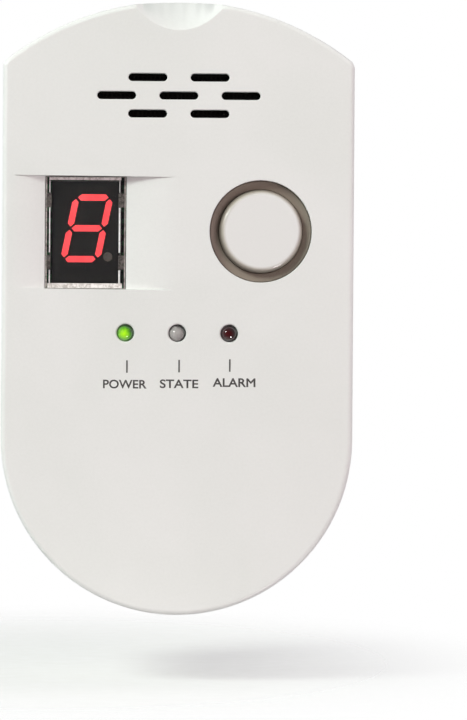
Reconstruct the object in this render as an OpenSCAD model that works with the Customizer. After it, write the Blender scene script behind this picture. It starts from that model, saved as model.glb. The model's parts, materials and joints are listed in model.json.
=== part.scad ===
// Plug-in carbon monoxide detector.
// Frame: millimetres, +Z up, +X to the right as one looks at the front cover, +Y towards the wall
// socket.
// The origin is the centre of the plug's engagement face. The front cover faces -Y.
// Inside the case, places are given as depths: the distance behind the flat front face.

/* [Case] */
// Width of the case, which is also the diameter of its round foot
body_w = 65; // [64:0.5:78]
// Height of the straight sides, from the foot's centre to the shoulders
side_h = 69.6; // [69:0.2:84]
// Radius of the shallow arc across the top
crown_r = 52; // [46:1:80]
// Softness of the two shoulders: the radius of the rounding that their bevel stands for
corner_r = 2.4; // [1:0.2:6]
// Rounding of the front edge
face_fillet = 1; // [0.4:0.1:1.4]
// Rounding of the rear edge
back_fillet = 1.8; // [0.6:0.1:2.4]
// Thickness of the case walls
wall = 2.2; // [1.8:0.1:2.6]
// Depth of the front cover
cover_d = 12; // [11.5:0.5:14]
// Depth of the rear housing
housing_d = 26; // [25:0.5:32]
// Height of the plug's centre above the foot's centre
plug_rise = 30; // [29:0.5:36]
// Depth of the register lip on the front cover
lip_d = 1.5; // [1:0.1:2]

/* [Thumb scoop] */
// Radius of the scooped surface
scoop_r = 13; // [9:0.5:15]
// How far the scoop reaches down the front face
scoop_h = 5.4; // [3:0.1:5.5]
// Tilt of the scoop's axis from the front face
scoop_tilt = 43; // [35:1:50]

/* [Sounder slots] */
// Length of one slot
slot_w = 7.2; // [5:0.2:8]
// Height of one slot
slot_h = 1.5; // [1:0.1:2]
// Distance between slots in a row
slot_pitch = 11.5; // [10:0.5:12]
// Distance between rows
slot_row = 3.36; // [2.8:0.02:3.6]
// Height of the middle row above the foot's centre
slot_rise = 63.5; // [62:0.1:66]

/* [Display] */
// Width of the display housing
display_w = 12.6; // [11:0.2:13]
// Height of the display housing
display_h = 19; // [17:0.5:19.5]
// Depth of the display housing
display_d = 8; // [7:0.5:8.5]
// Gap between the display housing and the inside of the window's box
display_gap = 0.3; // [0.1:0.05:0.4]
// Wall of the window's clear box
window_wall = 0.8; // [0.6:0.1:0.9]
// Gap between the window's box and the opening in the cover
window_gap = 0.12; // [0.08:0.02:0.2]
// Thickness of the window's clear front
window_t = 1.2; // [0.8:0.1:1.5]
// Depth of the cover's recess at the window
recess_d = 1.6; // [1:0.1:2]
// Width of the recess to the left of the window
recess_left = 6.2; // [4:0.1:6.2]
// Width of the recess to the right of the window
recess_right = 9.4; // [6:0.2:10]
// Distance of the window's centre to the left of the middle
window_left = 17.1; // [16.5:0.1:17.1]
// Height of the window's centre above the foot's centre
window_rise = 38.1; // [37:0.1:39]
// Height of the lit digit
digit_h = 12.6; // [11:0.2:12.8]
// Distance between the digit's upright segments
digit_w = 6.25; // [5.5:0.05:6.5]
// Thickness of a segment
segment_t = 1.16; // [0.9:0.02:1.4]
// Slant of the digit
digit_slant = 11.5; // [0:0.5:12]
// Diameter of the decimal point
point_dia = 1.7; // [1.2:0.1:1.8]

/* [Test button] */
// Diameter of the well in the cover
well_dia = 18.9; // [18.5:0.1:20]
// Diameter of the button
button_dia = 15.4; // [14.5:0.1:15.6]
// Rounding of the button's edge
button_round = 0.9; // [0.4:0.1:1.2]
// Distance of the button's centre to the right of the middle
button_right = 15.3; // [15:0.1:16.5]
// Height of the button's centre above the foot's centre
button_rise = 38.5; // [37:0.1:39]
// How far the button travels when pressed
button_travel = 1.2; // [0.6:0.1:1.4]
// Running clearance all round the button
button_gap = 0.09; // [0.05:0.01:0.1]

/* [Lamps] */
// Diameter of an LED's dome
led_dia = 3; // [2.6:0.2:3.2]
// Distance between LEDs
led_pitch = 9.6; // [8.5:0.1:10.5]
// Height of the LEDs above the foot's centre
led_rise = 19.6; // [18:0.1:21]
// How far an LED's dome stands out of the face
led_proud = 0.7; // [0.3:0.1:1]
// Gap round an LED in its hole
led_gap = 0.1; // [0.1:0.05:0.3]

/* [Plug] */
// Diameter of the plug's round boss, which enters a recessed socket
boss_dia = 36.5; // [35:0.5:37.5]
// Length of the boss behind the case
boss_d = 17; // [15:0.5:18]
// Diameter of a plug pin
pin_dia = 4.8; // [4:0.1:4.8]
// Length of a plug pin in front of the engagement face
pin_l = 19; // [17:0.5:20]
// Distance between the pins' centres
pin_pitch = 19; // [18:0.5:19.5]
// Width of the notches for the socket's earth clips
notch_w = 6.4; // [5:0.2:8]
// Depth of the notches for the socket's earth clips
notch_d = 2.8; // [2:0.1:3]

/* [Boards] */
// Thickness of both circuit boards
board_t = 1.6; // [1.2:0.1:1.6]
// Gap between a board's edge and the case wall
board_gap = 0.8; // [0.5:0.1:1.2]
// Height of the power board's posts above the rear wall
power_post = 4.2; // [3.8:0.1:4.6]
// Gap round the pins that pass through a board
hole_gap = 0.06; // [0.04:0.01:0.1]

/* [Hidden] */
$fn = 64;
eps = 0.01;
// How far a cut runs past the surface that it opens
over = 1;
// How far a joined shape reaches into the one that carries it
bite = 0.5;
// Gap between pieces that seat on each other
seat_gap = 0.05;
// Wall left at the blind end of a screw's pilot hole
blind_wall = 0.8;

// Case
half_w = body_w / 2;
case_d = cover_d + housing_d;
face_y = -(boss_d + case_d);
foot_z = -plug_rise;
shoulder_z = foot_z + side_h;
crown_z = shoulder_z - sqrt(crown_r * crown_r - half_w * half_w);
top_z = crown_z + crown_r;
bevel_angle = acos(half_w / crown_r) / 2;
bevel_z = shoulder_z - half_w * tan(bevel_angle);
bevel_r = half_w / cos(bevel_angle) - corner_r * (1 / cos(bevel_angle) - 1);
back_d = case_d - wall;
seam_gap = 0.1;

// Case screws: a boss on the cover meets a counterbored post on the rear housing
boss_r = 3.2;
post_r = 4.3;
upper_screw = [half_w - 7, shoulder_z - 3.6];
lower_screw = [half_w - 11, foot_z - 14];
case_screw_places = [[-upper_screw.x, upper_screw.y], upper_screw,
    [-lower_screw.x, lower_screw.y], lower_screw];
screw_r = 1.45;
screw_pilot_r = 1.5;
screw_hole_r = 1.75;
screw_head_r = 2.7;
screw_head_t = 2;
screw_l = 14;
counterbore_r = 3;
screw_seat_d = cover_d + 7;
pilot_end_d = wall + 1;
cross_reach = 0.6;
cross_w = 0.6;
cross_depth = 0.55;

// Display and its window
window_x = -window_left;
window_z = foot_z + window_rise;
window_snug = 0.25;
window_sink = 0.15;
window_air = 0.35;
window_skirt = 3.4;
window_w = display_w + 2 * (display_gap + window_wall);
window_h = display_h + 2 * (display_gap + window_wall - window_snug);
opening_w = window_w + 2 * window_gap;
opening_h = window_h + 2 * window_gap;
window_face_d = recess_d + window_sink;
display_face_d = window_face_d + window_t + window_air;
board_d = display_face_d + display_d;
board_back_d = board_d + board_t;
pad_back_d = wall + recess_d;
pad_edge = 1.6;
ramp_angle = 4;
tab_h = 2.6;
tab_reach = 0.55;
tab_t = 1.05;
tab_bite = 0.2;
tab_rise = 5.75;
segment_gap = 0.32;
digit_shift = [0.2, 0.82];
point_shift = [4.1, -4.45];
inlay_t = 0.4;
inlay_gap = 0.02;
inlay_proud = 0.04;
display_pin_pitch = 2.54;
display_pin_rows = 15.24;
display_pin_r = 0.25;

// Button, its ring and its switch
button_x = button_right;
button_z = foot_z + button_rise;
button_r = button_dia / 2;
well_r = well_dia / 2;
ring_gap = 0.08;
ring_face_d = 1.7;
ring_flange_r = well_r + 1.8;
ring_flange_t = 1.2;
ring_sleeve = 1.2;
ring_back_d = wall + ring_flange_t + ring_sleeve;
ring_wall_t = 1.2;
ring_wall_h = ring_flange_t + 0.6;
button_cap_t = 1.8;
button_skirt_t = 1.3;
button_flange_r = button_r + 1.2;
button_flange_t = 1;
button_back_d = ring_back_d + seat_gap + button_flange_t;
switch_w = 8;
switch_drop = 0.4;
switch_top_d = button_back_d + switch_drop;
stem_r = 1.7;
plunger_proud = 2.5;
stem_end_d = switch_top_d - plunger_proud;
plunger_r = 1.6;
plunger_gap = 0.08;
plunger_top_d = stem_end_d + seat_gap;
plunger_in = 2;
plunger_end_d = switch_top_d + plunger_in;
plunger_spare = 0.4;
plunger_hole_end_d = plunger_end_d + button_travel + plunger_spare;
switch_pin_x = 3;
switch_pin_z = 3.2;
switch_pin_r = 0.35;

// LEDs
led_r = led_dia / 2;
led_z = foot_z + led_rise;
led_flange_r = led_r + 0.4;
led_flange_t = 1;
led_height = 5.3;
led_base_d = led_height - led_proud;
led_leg_r = 0.25;
led_leg_x = 1.27;
led_places = [-led_pitch, 0, led_pitch];
led_hole_r = led_r + led_gap;
led_bevel = 0.2;

// Buzzer and slots
slot_z = foot_z + slot_rise;
mesh_t = 0.3;
mesh_edge = 3;
buzzer_r = 11;
buzzer_air = 0.4;
buzzer_face_d = wall + mesh_t + buzzer_air;
buzzer_floor = 1.5;
buzzer_mouth_r = 1.5;

// Gas sensor, behind the main board
sensor_x = 11.3;
sensor_z = slot_z - 0.4;
sensor_base_r = 8.5;
sensor_base_t = 2.5;
sensor_lift = 0.8;
sensor_cap_r = 7.6;
sensor_cap_t = 7;
sensor_cap_wall = 0.5;
sensor_cap_round = 1.2;
sensor_socket = 1.5;
sensor_pin_r = 0.5;
sensor_pin_circle = 5.4;

// Main board
board_low_z = foot_z - 8.5;
upper_post = [half_w - 6.3, window_z + 15.4];
lower_post = [half_w - 7.5, foot_z - 2];
board_screw_places = [[-upper_post.x, upper_post.y], upper_post,
    [-lower_post.x, lower_post.y], lower_post];
board_post_r = 2.6;
board_screw_r = 1;
board_pilot_r = 1.05;
board_hole_r = 1.25;
board_head_r = 2.1;
board_head_t = 1.2;
board_screw_l = 6;
chip_w = 12.8;
chip_h = 7.4;
chip_t = 2.3;
chip_lift = 0.15;
chip_place = [-11.5, slot_z - 3];
chip_pins = 20;
chip_pin_pitch = 1.27;
chip_pin_w = 0.4;
chip_pin_t = 0.25;
chip_pin_reach = 0.9;
chip_pin_rise = 1;
resistor_w = 1.6;
resistor_h = 0.8;
resistor_t = 0.55;
resistor_pitch = 4.8;
resistor_count = 6;
resistor_row = 7;
pin_out = 0.9;

// Plug
boss_rad = boss_dia / 2;
pin_r = pin_dia / 2;
pin_x = pin_pitch / 2;
insert_gap = 0.15;
flange_r = boss_rad + 6;
flange_t = 4;
flange_flat = 2;
flange_front_d = back_d - flange_t;
boss_wall = 2.6;
end_wall = 8;
hollow_half_h = boss_rad - notch_d - 2.6;
pin_shank_r = 2;
pin_collar_r = 3.2;
pin_collar_from = 2;
pin_collar_to = 5;
pin_fit = 0.02;
pin_groove_w = 0.15;
pin_groove_d = 0.5;
tail_r = 1.1;
tail_l = 4;
insert_screw_x = boss_rad + 2.8;
insert_boss_r = 2.5;
insert_boss_gap = 0.15;
insert_head_r = 3;
insert_head_t = 1.8;
insert_screw_l = 5.2;

// Leads from the pins to the power board
lead_r = 0.9;
lead_bend = 3;
lead_front_d = flange_front_d - 8;
lead_low_z = -26;

// Power board
power_back_d = back_d - power_post;
power_front_d = power_back_d - board_t;
power_half_w = half_w - 9.5;
power_top_z = -22;
power_low_z = foot_z - 24;
power_reach_r = half_w - wall - board_gap - 1;
power_board_gap = 0.5;
power_post_places = [[-(power_half_w - 3), power_top_z - 3.2], [power_half_w - 3, power_top_z - 3.2],
    [0, power_low_z + 3.5]];
transformer_z = foot_z - 8.5;
core_w = 20;
core_t = 5.2;
core_back_d = power_front_d - 2.6;
core_front_d = core_back_d - 12;
core_leg = 2.8;
core_mid = 4.8;
coil_r = 6.5;
bobbin_r = 4.2;
bobbin_flange_r = 6.8;
bobbin_cheek_t = 0.7;
bobbin_gap = 0.1;
bobbin_foot_z = 4.9;
bobbin_foot_h = 3.6;
fuse_place = [16, foot_z - 3.6];
fuse_r = 4.2;
fuse_l = 7.7;
varistor_place = [-16, foot_z - 3.6];
varistor_r = 4.5;
varistor_t = 3.6;
varistor_lift = 2;
varistor_leg_pitch = 5;
varistor_leg_r = 0.4;
rectifier_place = [13.6, foot_z - 12];
rectifier_w = 5;
rectifier_h = 6;
rectifier_t = 3.2;
regulator_place = [-13.6, foot_z - 12];
regulator_r = 2.4;
regulator_flat = 1.5;
regulator_l = 5;
capacitor_places = [[-7.6, foot_z - 19.8, 4, 11], [7.6, foot_z - 19.8, 3.2, 9]];
header_z = -26;
header_pitch = 2.54;
header_pins = 4;
header_t = 2.5;
header_pin_r = 0.32;

// Vents and label
vent_h = 1.6;
vent_pitch = 3.2;
vent_count = 5;
vent_z = slot_z - 13;
vent_front_d = cover_d + 6;
vent_back_d = back_d - 7;
label_w = 30;
label_h = 13;
label_t = 0.15;
label_gap = 0.3;
label_z = foot_z - 8;
label_recess = 0.2;

// Placing: 2D shapes are drawn as (x, z); depth runs from the front face towards the wall

// A flat shape, from one depth to another
module slab(from_d, to_d) {
    translate([0, face_y + to_d, 0])
        rotate([90, 0, 0])
            linear_extrude(to_d - from_d)
                children();
}

// A round rod along the depth
module rod(x, z, from_d, to_d, r) {
    translate([x, face_y + from_d, z])
        rotate([-90, 0, 0])
            cylinder(h = to_d - from_d, r = r);
}

// A turned shape about an axis along the depth, from a profile of (radius, depth)
module turned(x, z, angle = 360) {
    translate([x, face_y, z])
        rotate([-90, 0, 0])
            rotate_extrude(angle = angle)
                children();
}

// A box by its middle (x, z), its width and height and its two depths
module block(x, z, w, h, from_d, to_d) {
    translate([x - w / 2, face_y + from_d, z - h / 2])
        cube([w, to_d - from_d, h]);
}

// A stadium-shaped slot in the plane of the face
module stadium(x, z, w, h) {
    translate([x, z]) {
        square([w - h, h], center = true);
        for (side = [-1, 1])
            translate([side * (w - h) / 2, 0])
                circle(d = h);
    }
}

// Case form

// Half section of a case shell, (reach from the middle, depth), with rounded rims
module edge_profile(reach, from_d, to_d, front_r, back_r) {
    intersection() {
        translate([0, from_d])
            square([reach, to_d - from_d]);
        union() {
            translate([0, from_d + front_r])
                square([reach, to_d - from_d - front_r - back_r]);
            translate([0, from_d])
                square([reach - max(front_r, back_r), to_d - from_d]);
            if (front_r > 0)
                translate([reach - front_r, from_d + front_r])
                    circle(r = front_r);
            if (back_r > 0)
                translate([reach - back_r, to_d - back_r])
                    circle(r = back_r);
        }
    }
}

// The case's outline as a solid, set in by inset: a round foot with straight sides above it, cut by
// the arched crown and, at the two shoulders, by a smaller arc that takes off their corners
module case_solid(inset, from_d, to_d, front_r = 0, back_r = 0) {
    intersection() {
        union() {
            turned(0, foot_z, 180)
                edge_profile(half_w - inset, from_d, to_d, front_r, back_r);
            translate([0, face_y, foot_z])
                linear_extrude(top_z - foot_z + over) {
                    edge_profile(half_w - inset, from_d, to_d, front_r, back_r);
                    mirror([1, 0])
                        edge_profile(half_w - inset, from_d, to_d, front_r, back_r);
                }
        }
        arch(crown_z, crown_r - inset, from_d, to_d, front_r, back_r);
        arch(bevel_z, bevel_r - inset, from_d, to_d, front_r, back_r);
    }
}

// All that lies under an arc of radius r about (0, z)
module arch(z, r, from_d, to_d, front_r, back_r) {
    low_z = foot_z - half_w - over;
    turned(0, z)
        edge_profile(r, from_d, to_d, front_r, back_r);
    block(0, (low_z + z) / 2, 3 * half_w, z - low_z, from_d, to_d);
}

// The thumb scoop at the top edge: a leaning cylinder whose lowest line starts on the face
module scoop(grow) {
    translate([0, face_y, top_z - scoop_h])
        rotate([-scoop_tilt, 0, 0])
            translate([0, -scoop_r, -2 * scoop_r])
                cylinder(h = 4 * scoop_r, r = scoop_r + grow, $fn = 128);
}

// Middles of the seven sounder slots: two, three and two
function slot_places() = [for (row = [-1:1])
    for (i = [0:(row == 0 ? 2 : 1)])
        [(i - (row == 0 ? 1 : 0.5)) * slot_pitch, slot_z + row * slot_row]];

// Front cover

// The recess that leads the eye to the display: a curved ramp on each side of the window
module display_recess() {
    difference() {
        block(window_x + (recess_right - recess_left) / 2, window_z,
            opening_w + recess_left + recess_right, opening_h, -over, recess_d);
        ramp(-1, recess_left);
        ramp(1, recess_right);
    }
}

// What a ramp leaves standing: a large upright cylinder through the window's edge at the recess's
// depth, which meets the face at a slight angle at the ramp's far end
module ramp(side, w) {
    r = (w * w + recess_d * recess_d) / (2 * (recess_d * cos(ramp_angle) - w * sin(ramp_angle)));
    x = window_x + side * (opening_w / 2 + w + r * sin(ramp_angle));
    translate([x, face_y + r * cos(ramp_angle), window_z - opening_h])
        cylinder(h = 2 * opening_h, r = r, $fn = 200);
}

module cover_shell() {
    difference() {
        case_solid(0, 0, cover_d, face_fillet, 0);
        difference() {
            case_solid(wall, wall, cover_d + over);
            // thick pad behind the display recess
            block(window_x + (recess_right - recess_left) / 2, window_z,
                opening_w + recess_left + recess_right + 2 * pad_edge,
                opening_h + 2 * pad_edge, wall - over, pad_back_d);
            // wall behind the thumb scoop
            scoop(wall);
        }
    }
    // register lip
    difference() {
        case_solid(wall / 2 + seam_gap, cover_d - over, cover_d + lip_d);
        case_solid(wall, cover_d - 2 * over, cover_d + lip_d + over);
    }
    // bosses of the case screws
    for (p = case_screw_places)
        rod(p.x, p.y, wall - bite, cover_d, boss_r);
    // posts of the main board
    for (p = board_screw_places)
        rod(p.x, p.y, wall - bite, board_d, board_post_r);
    // wall round the button's ring
    turned(button_x, button_z)
        translate([ring_flange_r + ring_gap, wall - bite])
            square([ring_wall_t, ring_wall_h + bite]);
}

module front_cover() {
    color("whitesmoke")
        difference() {
            cover_shell();
            scoop(0);
            slab(-over, wall + over)
                for (p = slot_places())
                    stadium(p.x, p.y, slot_w, slot_h);
            display_recess();
            block(window_x, window_z, opening_w, opening_h, -over, pad_back_d + over);
            rod(button_x, button_z, -over, wall + over, well_r);
            for (x = led_places)
                turned(x, led_z)
                    polygon([[0, -over], [led_hole_r + led_bevel, -over],
                        [led_hole_r + led_bevel, 0], [led_hole_r, led_bevel],
                        [led_hole_r, wall + over], [0, wall + over]]);
            for (p = case_screw_places)
                rod(p.x, p.y, pilot_end_d, cover_d + over, screw_pilot_r);
            for (p = board_screw_places)
                rod(p.x, p.y, pilot_end_d, board_d + over, board_pilot_r);
        }
}

// Rear housing

module side_vents() {
    for (side = [-1, 1])
        for (i = [0:vent_count - 1])
            translate([side * half_w, 0, vent_z + (i - (vent_count - 1) / 2) * vent_pitch])
                rotate([0, side * 90, 0])
                    translate([0, face_y, -wall - over])
                        linear_extrude(wall + 2 * over)
                            vent_slot();
}

// Outline of one vent, long in the depth
module vent_slot() {
    r = vent_h / 2;
    translate([0, (vent_front_d + vent_back_d) / 2])
        square([vent_h, vent_back_d - vent_front_d - vent_h], center = true);
    translate([0, vent_front_d + r])
        circle(r = r);
    translate([0, vent_back_d - r])
        circle(r = r);
}

module rear_housing() {
    color("whitesmoke")
        difference() {
            union() {
                difference() {
                    case_solid(0, cover_d, case_d, 0, back_fillet);
                    case_solid(wall, cover_d - over, back_d);
                    case_solid(wall / 2, cover_d - over, cover_d + lip_d + seam_gap);
                }
                for (p = case_screw_places)
                    rod(p.x, p.y, cover_d + seam_gap, back_d + bite, post_r);
                for (side = [-1, 1])
                    rod(side * insert_screw_x, 0, flange_front_d + seat_gap, back_d + bite, insert_boss_r);
                for (p = power_post_places)
                    rod(p.x, p.y, power_back_d, back_d + bite, board_post_r);
            }
            rod(0, 0, back_d - over, case_d + over, boss_rad + insert_gap);
            for (p = case_screw_places) {
                rod(p.x, p.y, cover_d, case_d + over, screw_hole_r);
                rod(p.x, p.y, screw_seat_d, case_d + over, counterbore_r);
            }
            for (side = [-1, 1])
                rod(side * insert_screw_x, 0, flange_front_d - over, case_d - blind_wall, screw_pilot_r);
            for (p = power_post_places)
                rod(p.x, p.y, power_back_d - over, case_d - 2 * blind_wall, board_pilot_r);
            side_vents();
            block(0, label_z, label_w + 2 * label_gap, label_h + 2 * label_gap,
                case_d - label_recess, case_d + over);
        }
}

module rating_label() {
    color("gainsboro")
        block(0, label_z, label_w, label_h, case_d - label_recess, case_d - label_recess + label_t);
}

// Plug

// Half section of one pin, (radius, distance in front of the engagement face), larger by grow
module pin_profile(grow) {
    translate([0, -end_wall - tail_l])
        square([tail_r + grow, tail_l + grow]);
    translate([0, -end_wall])
        square([pin_shank_r + grow, end_wall]);
    translate([0, -pin_collar_to - grow])
        square([pin_collar_r + grow, pin_collar_to - pin_collar_from + 2 * grow]);
}

module plug_pin(side) {
    color("silver")
        translate([side * pin_x, 0, 0])
            rotate([-90, 0, 0])
                rotate_extrude() {
                    pin_profile(0);
                    square([pin_r, pin_l - pin_r]);
                    intersection() {
                        translate([0, pin_l - pin_r])
                            circle(r = pin_r);
                        translate([0, pin_l - pin_r - bite])
                            square([pin_r, pin_r + over]);
                    }
                }
}

module plug_insert() {
    color("whitesmoke")
        difference() {
            union() {
                rod(0, 0, flange_front_d, case_d + boss_d, boss_rad);
                intersection() {
                    rod(0, 0, flange_front_d, back_d, flange_r);
                    block(0, 0, 2 * (flange_r + over), 2 * (boss_rad + flange_flat), flange_front_d, back_d);
                }
            }
            // notches for the earth clips
            for (side = [-1, 1])
                block(0, side * boss_rad, notch_w, 2 * notch_d, case_d, case_d + boss_d + over);
            // hollow of the boss
            intersection() {
                rod(0, 0, flange_front_d - over, case_d + boss_d - end_wall, boss_rad - boss_wall);
                block(0, 0, boss_dia, 2 * hollow_half_h, flange_front_d - over, case_d + boss_d);
            }
            for (side = [-1, 1])
                translate([side * pin_x, 0, 0])
                    rotate([-90, 0, 0])
                        rotate_extrude() {
                            pin_profile(pin_fit);
                            // shallow groove round the pin where it leaves the face
                            translate([0, -pin_groove_d])
                                square([pin_r + pin_groove_w, pin_groove_d + over]);
                        }
            for (side = [-1, 1])
                rod(side * insert_screw_x, 0, flange_front_d - over, back_d + over,
                    insert_boss_r + insert_boss_gap);
        }
}

module plug_screws() {
    color("silver")
        for (side = [-1, 1])
            pan_screw(side * insert_screw_x, 0, flange_front_d, 1,
                insert_head_r, insert_head_t, screw_r, insert_screw_l);
}

// A pan-head screw whose head seats at a depth; way is 1 if it points towards the wall, -1 to the front
module pan_screw(x, z, seat_d, way, head_r, head_t, shank_r, length) {
    translate([x, face_y + seat_d, z])
        rotate([-90 * way, 0, 0])
            difference() {
                union() {
                    cylinder(h = length, r = shank_r);
                    translate([0, 0, -head_t])
                        cylinder(h = head_t, r = head_r);
                }
                for (turn = [0, 90])
                    rotate([0, 0, turn])
                        translate([-head_r * cross_reach, -cross_w / 2, -head_t - over])
                            cube([2 * head_r * cross_reach, cross_w, over + head_t * cross_depth]);
            }
}

// A lead from a pin's tail: out of the boss, down behind the main board, back to the power board
module lead(side) {
    start_d = case_d + boss_d - end_wall - tail_l;
    front_d = lead_front_d;
    turn_d = front_d + lead_bend;
    rod(side * pin_x, 0, turn_d, start_d, lead_r);
    lead_elbow(side * pin_x, -lead_bend, turn_d, 0);
    translate([side * pin_x, face_y + front_d, lead_low_z + lead_bend])
        cylinder(h = -lead_low_z - 2 * lead_bend, r = lead_r);
    lead_elbow(side * pin_x, lead_low_z + lead_bend, turn_d, -90);
    rod(side * pin_x, lead_low_z, turn_d, power_front_d, lead_r);
}

// A quarter bend about (z, d), from straight above that point to in front of it, then turned by turn
module lead_elbow(x, z, d, turn) {
    translate([x, face_y + d, z])
        rotate([0, -90, 0])
            rotate([0, 0, turn])
                mirror([0, 1, 0])
                    rotate_extrude(angle = 90)
                        translate([lead_bend, 0])
                            circle(r = lead_r);
}

module live_lead() {
    color("saddlebrown")
        lead(-1);
}

module neutral_lead() {
    color("steelblue")
        lead(1);
}

// Display

// A clear box, open at the back, with four snap tabs that catch behind the cover
module display_window() {
    color("lightcyan", 0.4) {
        difference() {
            block(window_x, window_z, window_w, window_h,
                window_face_d, window_face_d + window_t + window_skirt);
            block(window_x, window_z, window_w - 2 * window_wall, window_h - 2 * window_wall,
                window_face_d + window_t, window_face_d + window_t + window_skirt + over);
        }
        for (side = [-1, 1])
            for (row = [-1, 1])
                snap_tab(side, row * tab_rise);
    }
}

module snap_tab(side, rise) {
    x = window_x + side * window_w / 2;
    catch_y = face_y + pad_back_d + seat_gap;
    translate([0, 0, window_z + rise - tab_h / 2])
        linear_extrude(tab_h)
            polygon([[x - side * tab_bite, catch_y],
                [x + side * tab_reach, catch_y],
                [x, catch_y + tab_t],
                [x - side * tab_bite, catch_y + tab_t]]);
}

// A point of the digit, leaned over by its slant
function lean(x, z) = [x + z * tan(digit_slant), z];

// A six-cornered bar: flat when upright is false
function bar_points(x, z, length, upright, grow) =
    let (t = segment_t / 2 + grow, h = length / 2 + grow)
    [for (p = [[-h, 0], [-h + t, t], [h - t, t], [h, 0], [h - t, -t], [-h + t, -t]])
        upright ? lean(x + p.y, z + p.x) : lean(x + p.x, z + p.y)];

// The seven bars of the digit
module digit(grow) {
    rise = (digit_h - segment_t) / 2;
    translate([window_x + digit_shift.x, window_z + digit_shift.y]) {
        for (row = [-1:1])
            polygon(bar_points(0, row * rise, digit_w - 2 * segment_gap, false, grow));
        for (side = [-1, 1])
            for (row = [-1, 1])
                polygon(bar_points(side * digit_w / 2, row * rise / 2, rise - 2 * segment_gap, true,
                    grow));
    }
}

function display_pin_places() = [for (row = [-1, 1])
    for (i = [-2:2])
        [window_x + i * display_pin_pitch, window_z + row * display_pin_rows / 2]];

module display_body() {
    color([0.12, 0.11, 0.1])
        difference() {
            block(window_x, window_z, display_w, display_h, display_face_d, board_d);
            slab(display_face_d - over, display_face_d + inlay_t)
                digit(inlay_gap);
            rod(window_x + point_shift.x, window_z + point_shift.y,
                display_face_d - over, display_face_d + inlay_t, point_dia / 2 + inlay_gap);
        }
}

module display_segments() {
    color("red")
        slab(display_face_d - inlay_proud, display_face_d + inlay_t)
            digit(0);
}

module display_point() {
    color("dimgray")
        rod(window_x + point_shift.x, window_z + point_shift.y,
            display_face_d - inlay_proud, display_face_d + inlay_t, point_dia / 2);
}

module display_pins() {
    color("silver")
        for (p = display_pin_places())
            rod(p.x, p.y, board_d, board_back_d + pin_out, display_pin_r);
}

// Button, ring and switch

module button_ring() {
    color("dimgray")
        turned(button_x, button_z)
            difference() {
                union() {
                    translate([0, ring_face_d])
                        square([well_r - ring_gap, ring_back_d - ring_face_d]);
                    translate([0, wall])
                        square([ring_flange_r, ring_flange_t]);
                }
                translate([-over, 0])
                    square([button_r + button_gap + over, ring_back_d + over]);
            }
}

module test_button() {
    skirt_r = button_r - button_skirt_t;
    color("whitesmoke")
        turned(button_x, button_z) {
            difference() {
                union() {
                    translate([0, button_round])
                        square([button_r, button_back_d - button_round]);
                    square([button_r - button_round, button_back_d]);
                    translate([button_r - button_round, button_round])
                        circle(r = button_round);
                    translate([0, button_back_d - button_flange_t])
                        square([button_flange_r, button_flange_t]);
                }
                translate([-over, button_cap_t])
                    square([skirt_r + over, button_back_d]);
            }
            square([stem_r, stem_end_d]);
        }
}

function switch_pin_places() = [for (x = [-1, 1])
    for (z = [-1, 1])
        [button_x + x * switch_pin_x, button_z + z * switch_pin_z]];

module switch_body() {
    color([0.15, 0.15, 0.16])
        difference() {
            block(button_x, button_z, switch_w, switch_w, switch_top_d, board_d);
            rod(button_x, button_z, switch_top_d - over, plunger_hole_end_d, plunger_r + plunger_gap);
        }
}

module switch_plunger() {
    color("ivory")
        rod(button_x, button_z, plunger_top_d, plunger_end_d, plunger_r);
}

module switch_pins() {
    color("silver")
        for (p = switch_pin_places())
            rod(p.x, p.y, board_d, board_back_d + pin_out, switch_pin_r);
}

// LEDs

module led(x) {
    turned(x, led_z) {
        translate([0, led_r - led_proud])
            square([led_r, led_height - led_r]);
        translate([0, led_base_d - led_flange_t])
            square([led_flange_r, led_flange_t]);
        intersection() {
            translate([0, led_r - led_proud])
                circle(r = led_r);
            translate([0, -led_proud])
                square([led_r, led_r + bite]);
        }
    }
}

module led_green() {
    color("limegreen")
        led(led_places[0]);
}

module led_clear() {
    color("gainsboro")
        led(led_places[1]);
}

module led_red() {
    color("darkred")
        led(led_places[2]);
}

function led_leg_places() = [for (x = led_places)
    for (side = [-1, 1])
        [x + side * led_leg_x, led_z]];

module led_legs() {
    color("silver")
        for (p = led_leg_places())
            rod(p.x, p.y, led_base_d, board_back_d + pin_out, led_leg_r);
}

// Sounder and sensor

module slot_mesh() {
    color([0.1, 0.1, 0.1])
        block(0, slot_z, 2 * slot_pitch + slot_w + mesh_edge, 2 * slot_row + slot_h + mesh_edge,
            wall, wall + mesh_t);
}

module buzzer() {
    color([0.12, 0.12, 0.13])
        difference() {
            rod(0, slot_z, buzzer_face_d, board_d, buzzer_r);
            rod(0, slot_z, buzzer_face_d - over, board_d - buzzer_floor, buzzer_mouth_r);
        }
}

function sensor_pin_places() = [for (i = [0:5])
    [sensor_x + sensor_pin_circle * cos(60 * i + 30), sensor_z + sensor_pin_circle * sin(60 * i + 30)]];

module sensor_base() {
    base_d = board_back_d + sensor_lift;
    color([0.14, 0.14, 0.15])
        difference() {
            rod(sensor_x, sensor_z, base_d, base_d + sensor_base_t, sensor_base_r);
            for (p = sensor_pin_places())
                rod(p.x, p.y, base_d - over, base_d + sensor_socket, sensor_pin_r);
        }
}

module sensor_cap() {
    cap_d = board_back_d + sensor_lift + sensor_base_t;
    color("silver")
        turned(sensor_x, sensor_z)
            difference() {
                edge_profile(sensor_cap_r, cap_d, cap_d + sensor_cap_t, 0, sensor_cap_round);
                translate([-over, cap_d - over])
                    square([sensor_cap_r - sensor_cap_wall + over, sensor_cap_t + over - sensor_cap_wall]);
            }
}

module sensor_pins() {
    base_d = board_back_d + sensor_lift;
    color("gold")
        for (p = sensor_pin_places())
            rod(p.x, p.y, board_d, base_d + sensor_socket, sensor_pin_r);
}

// Main board

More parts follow.
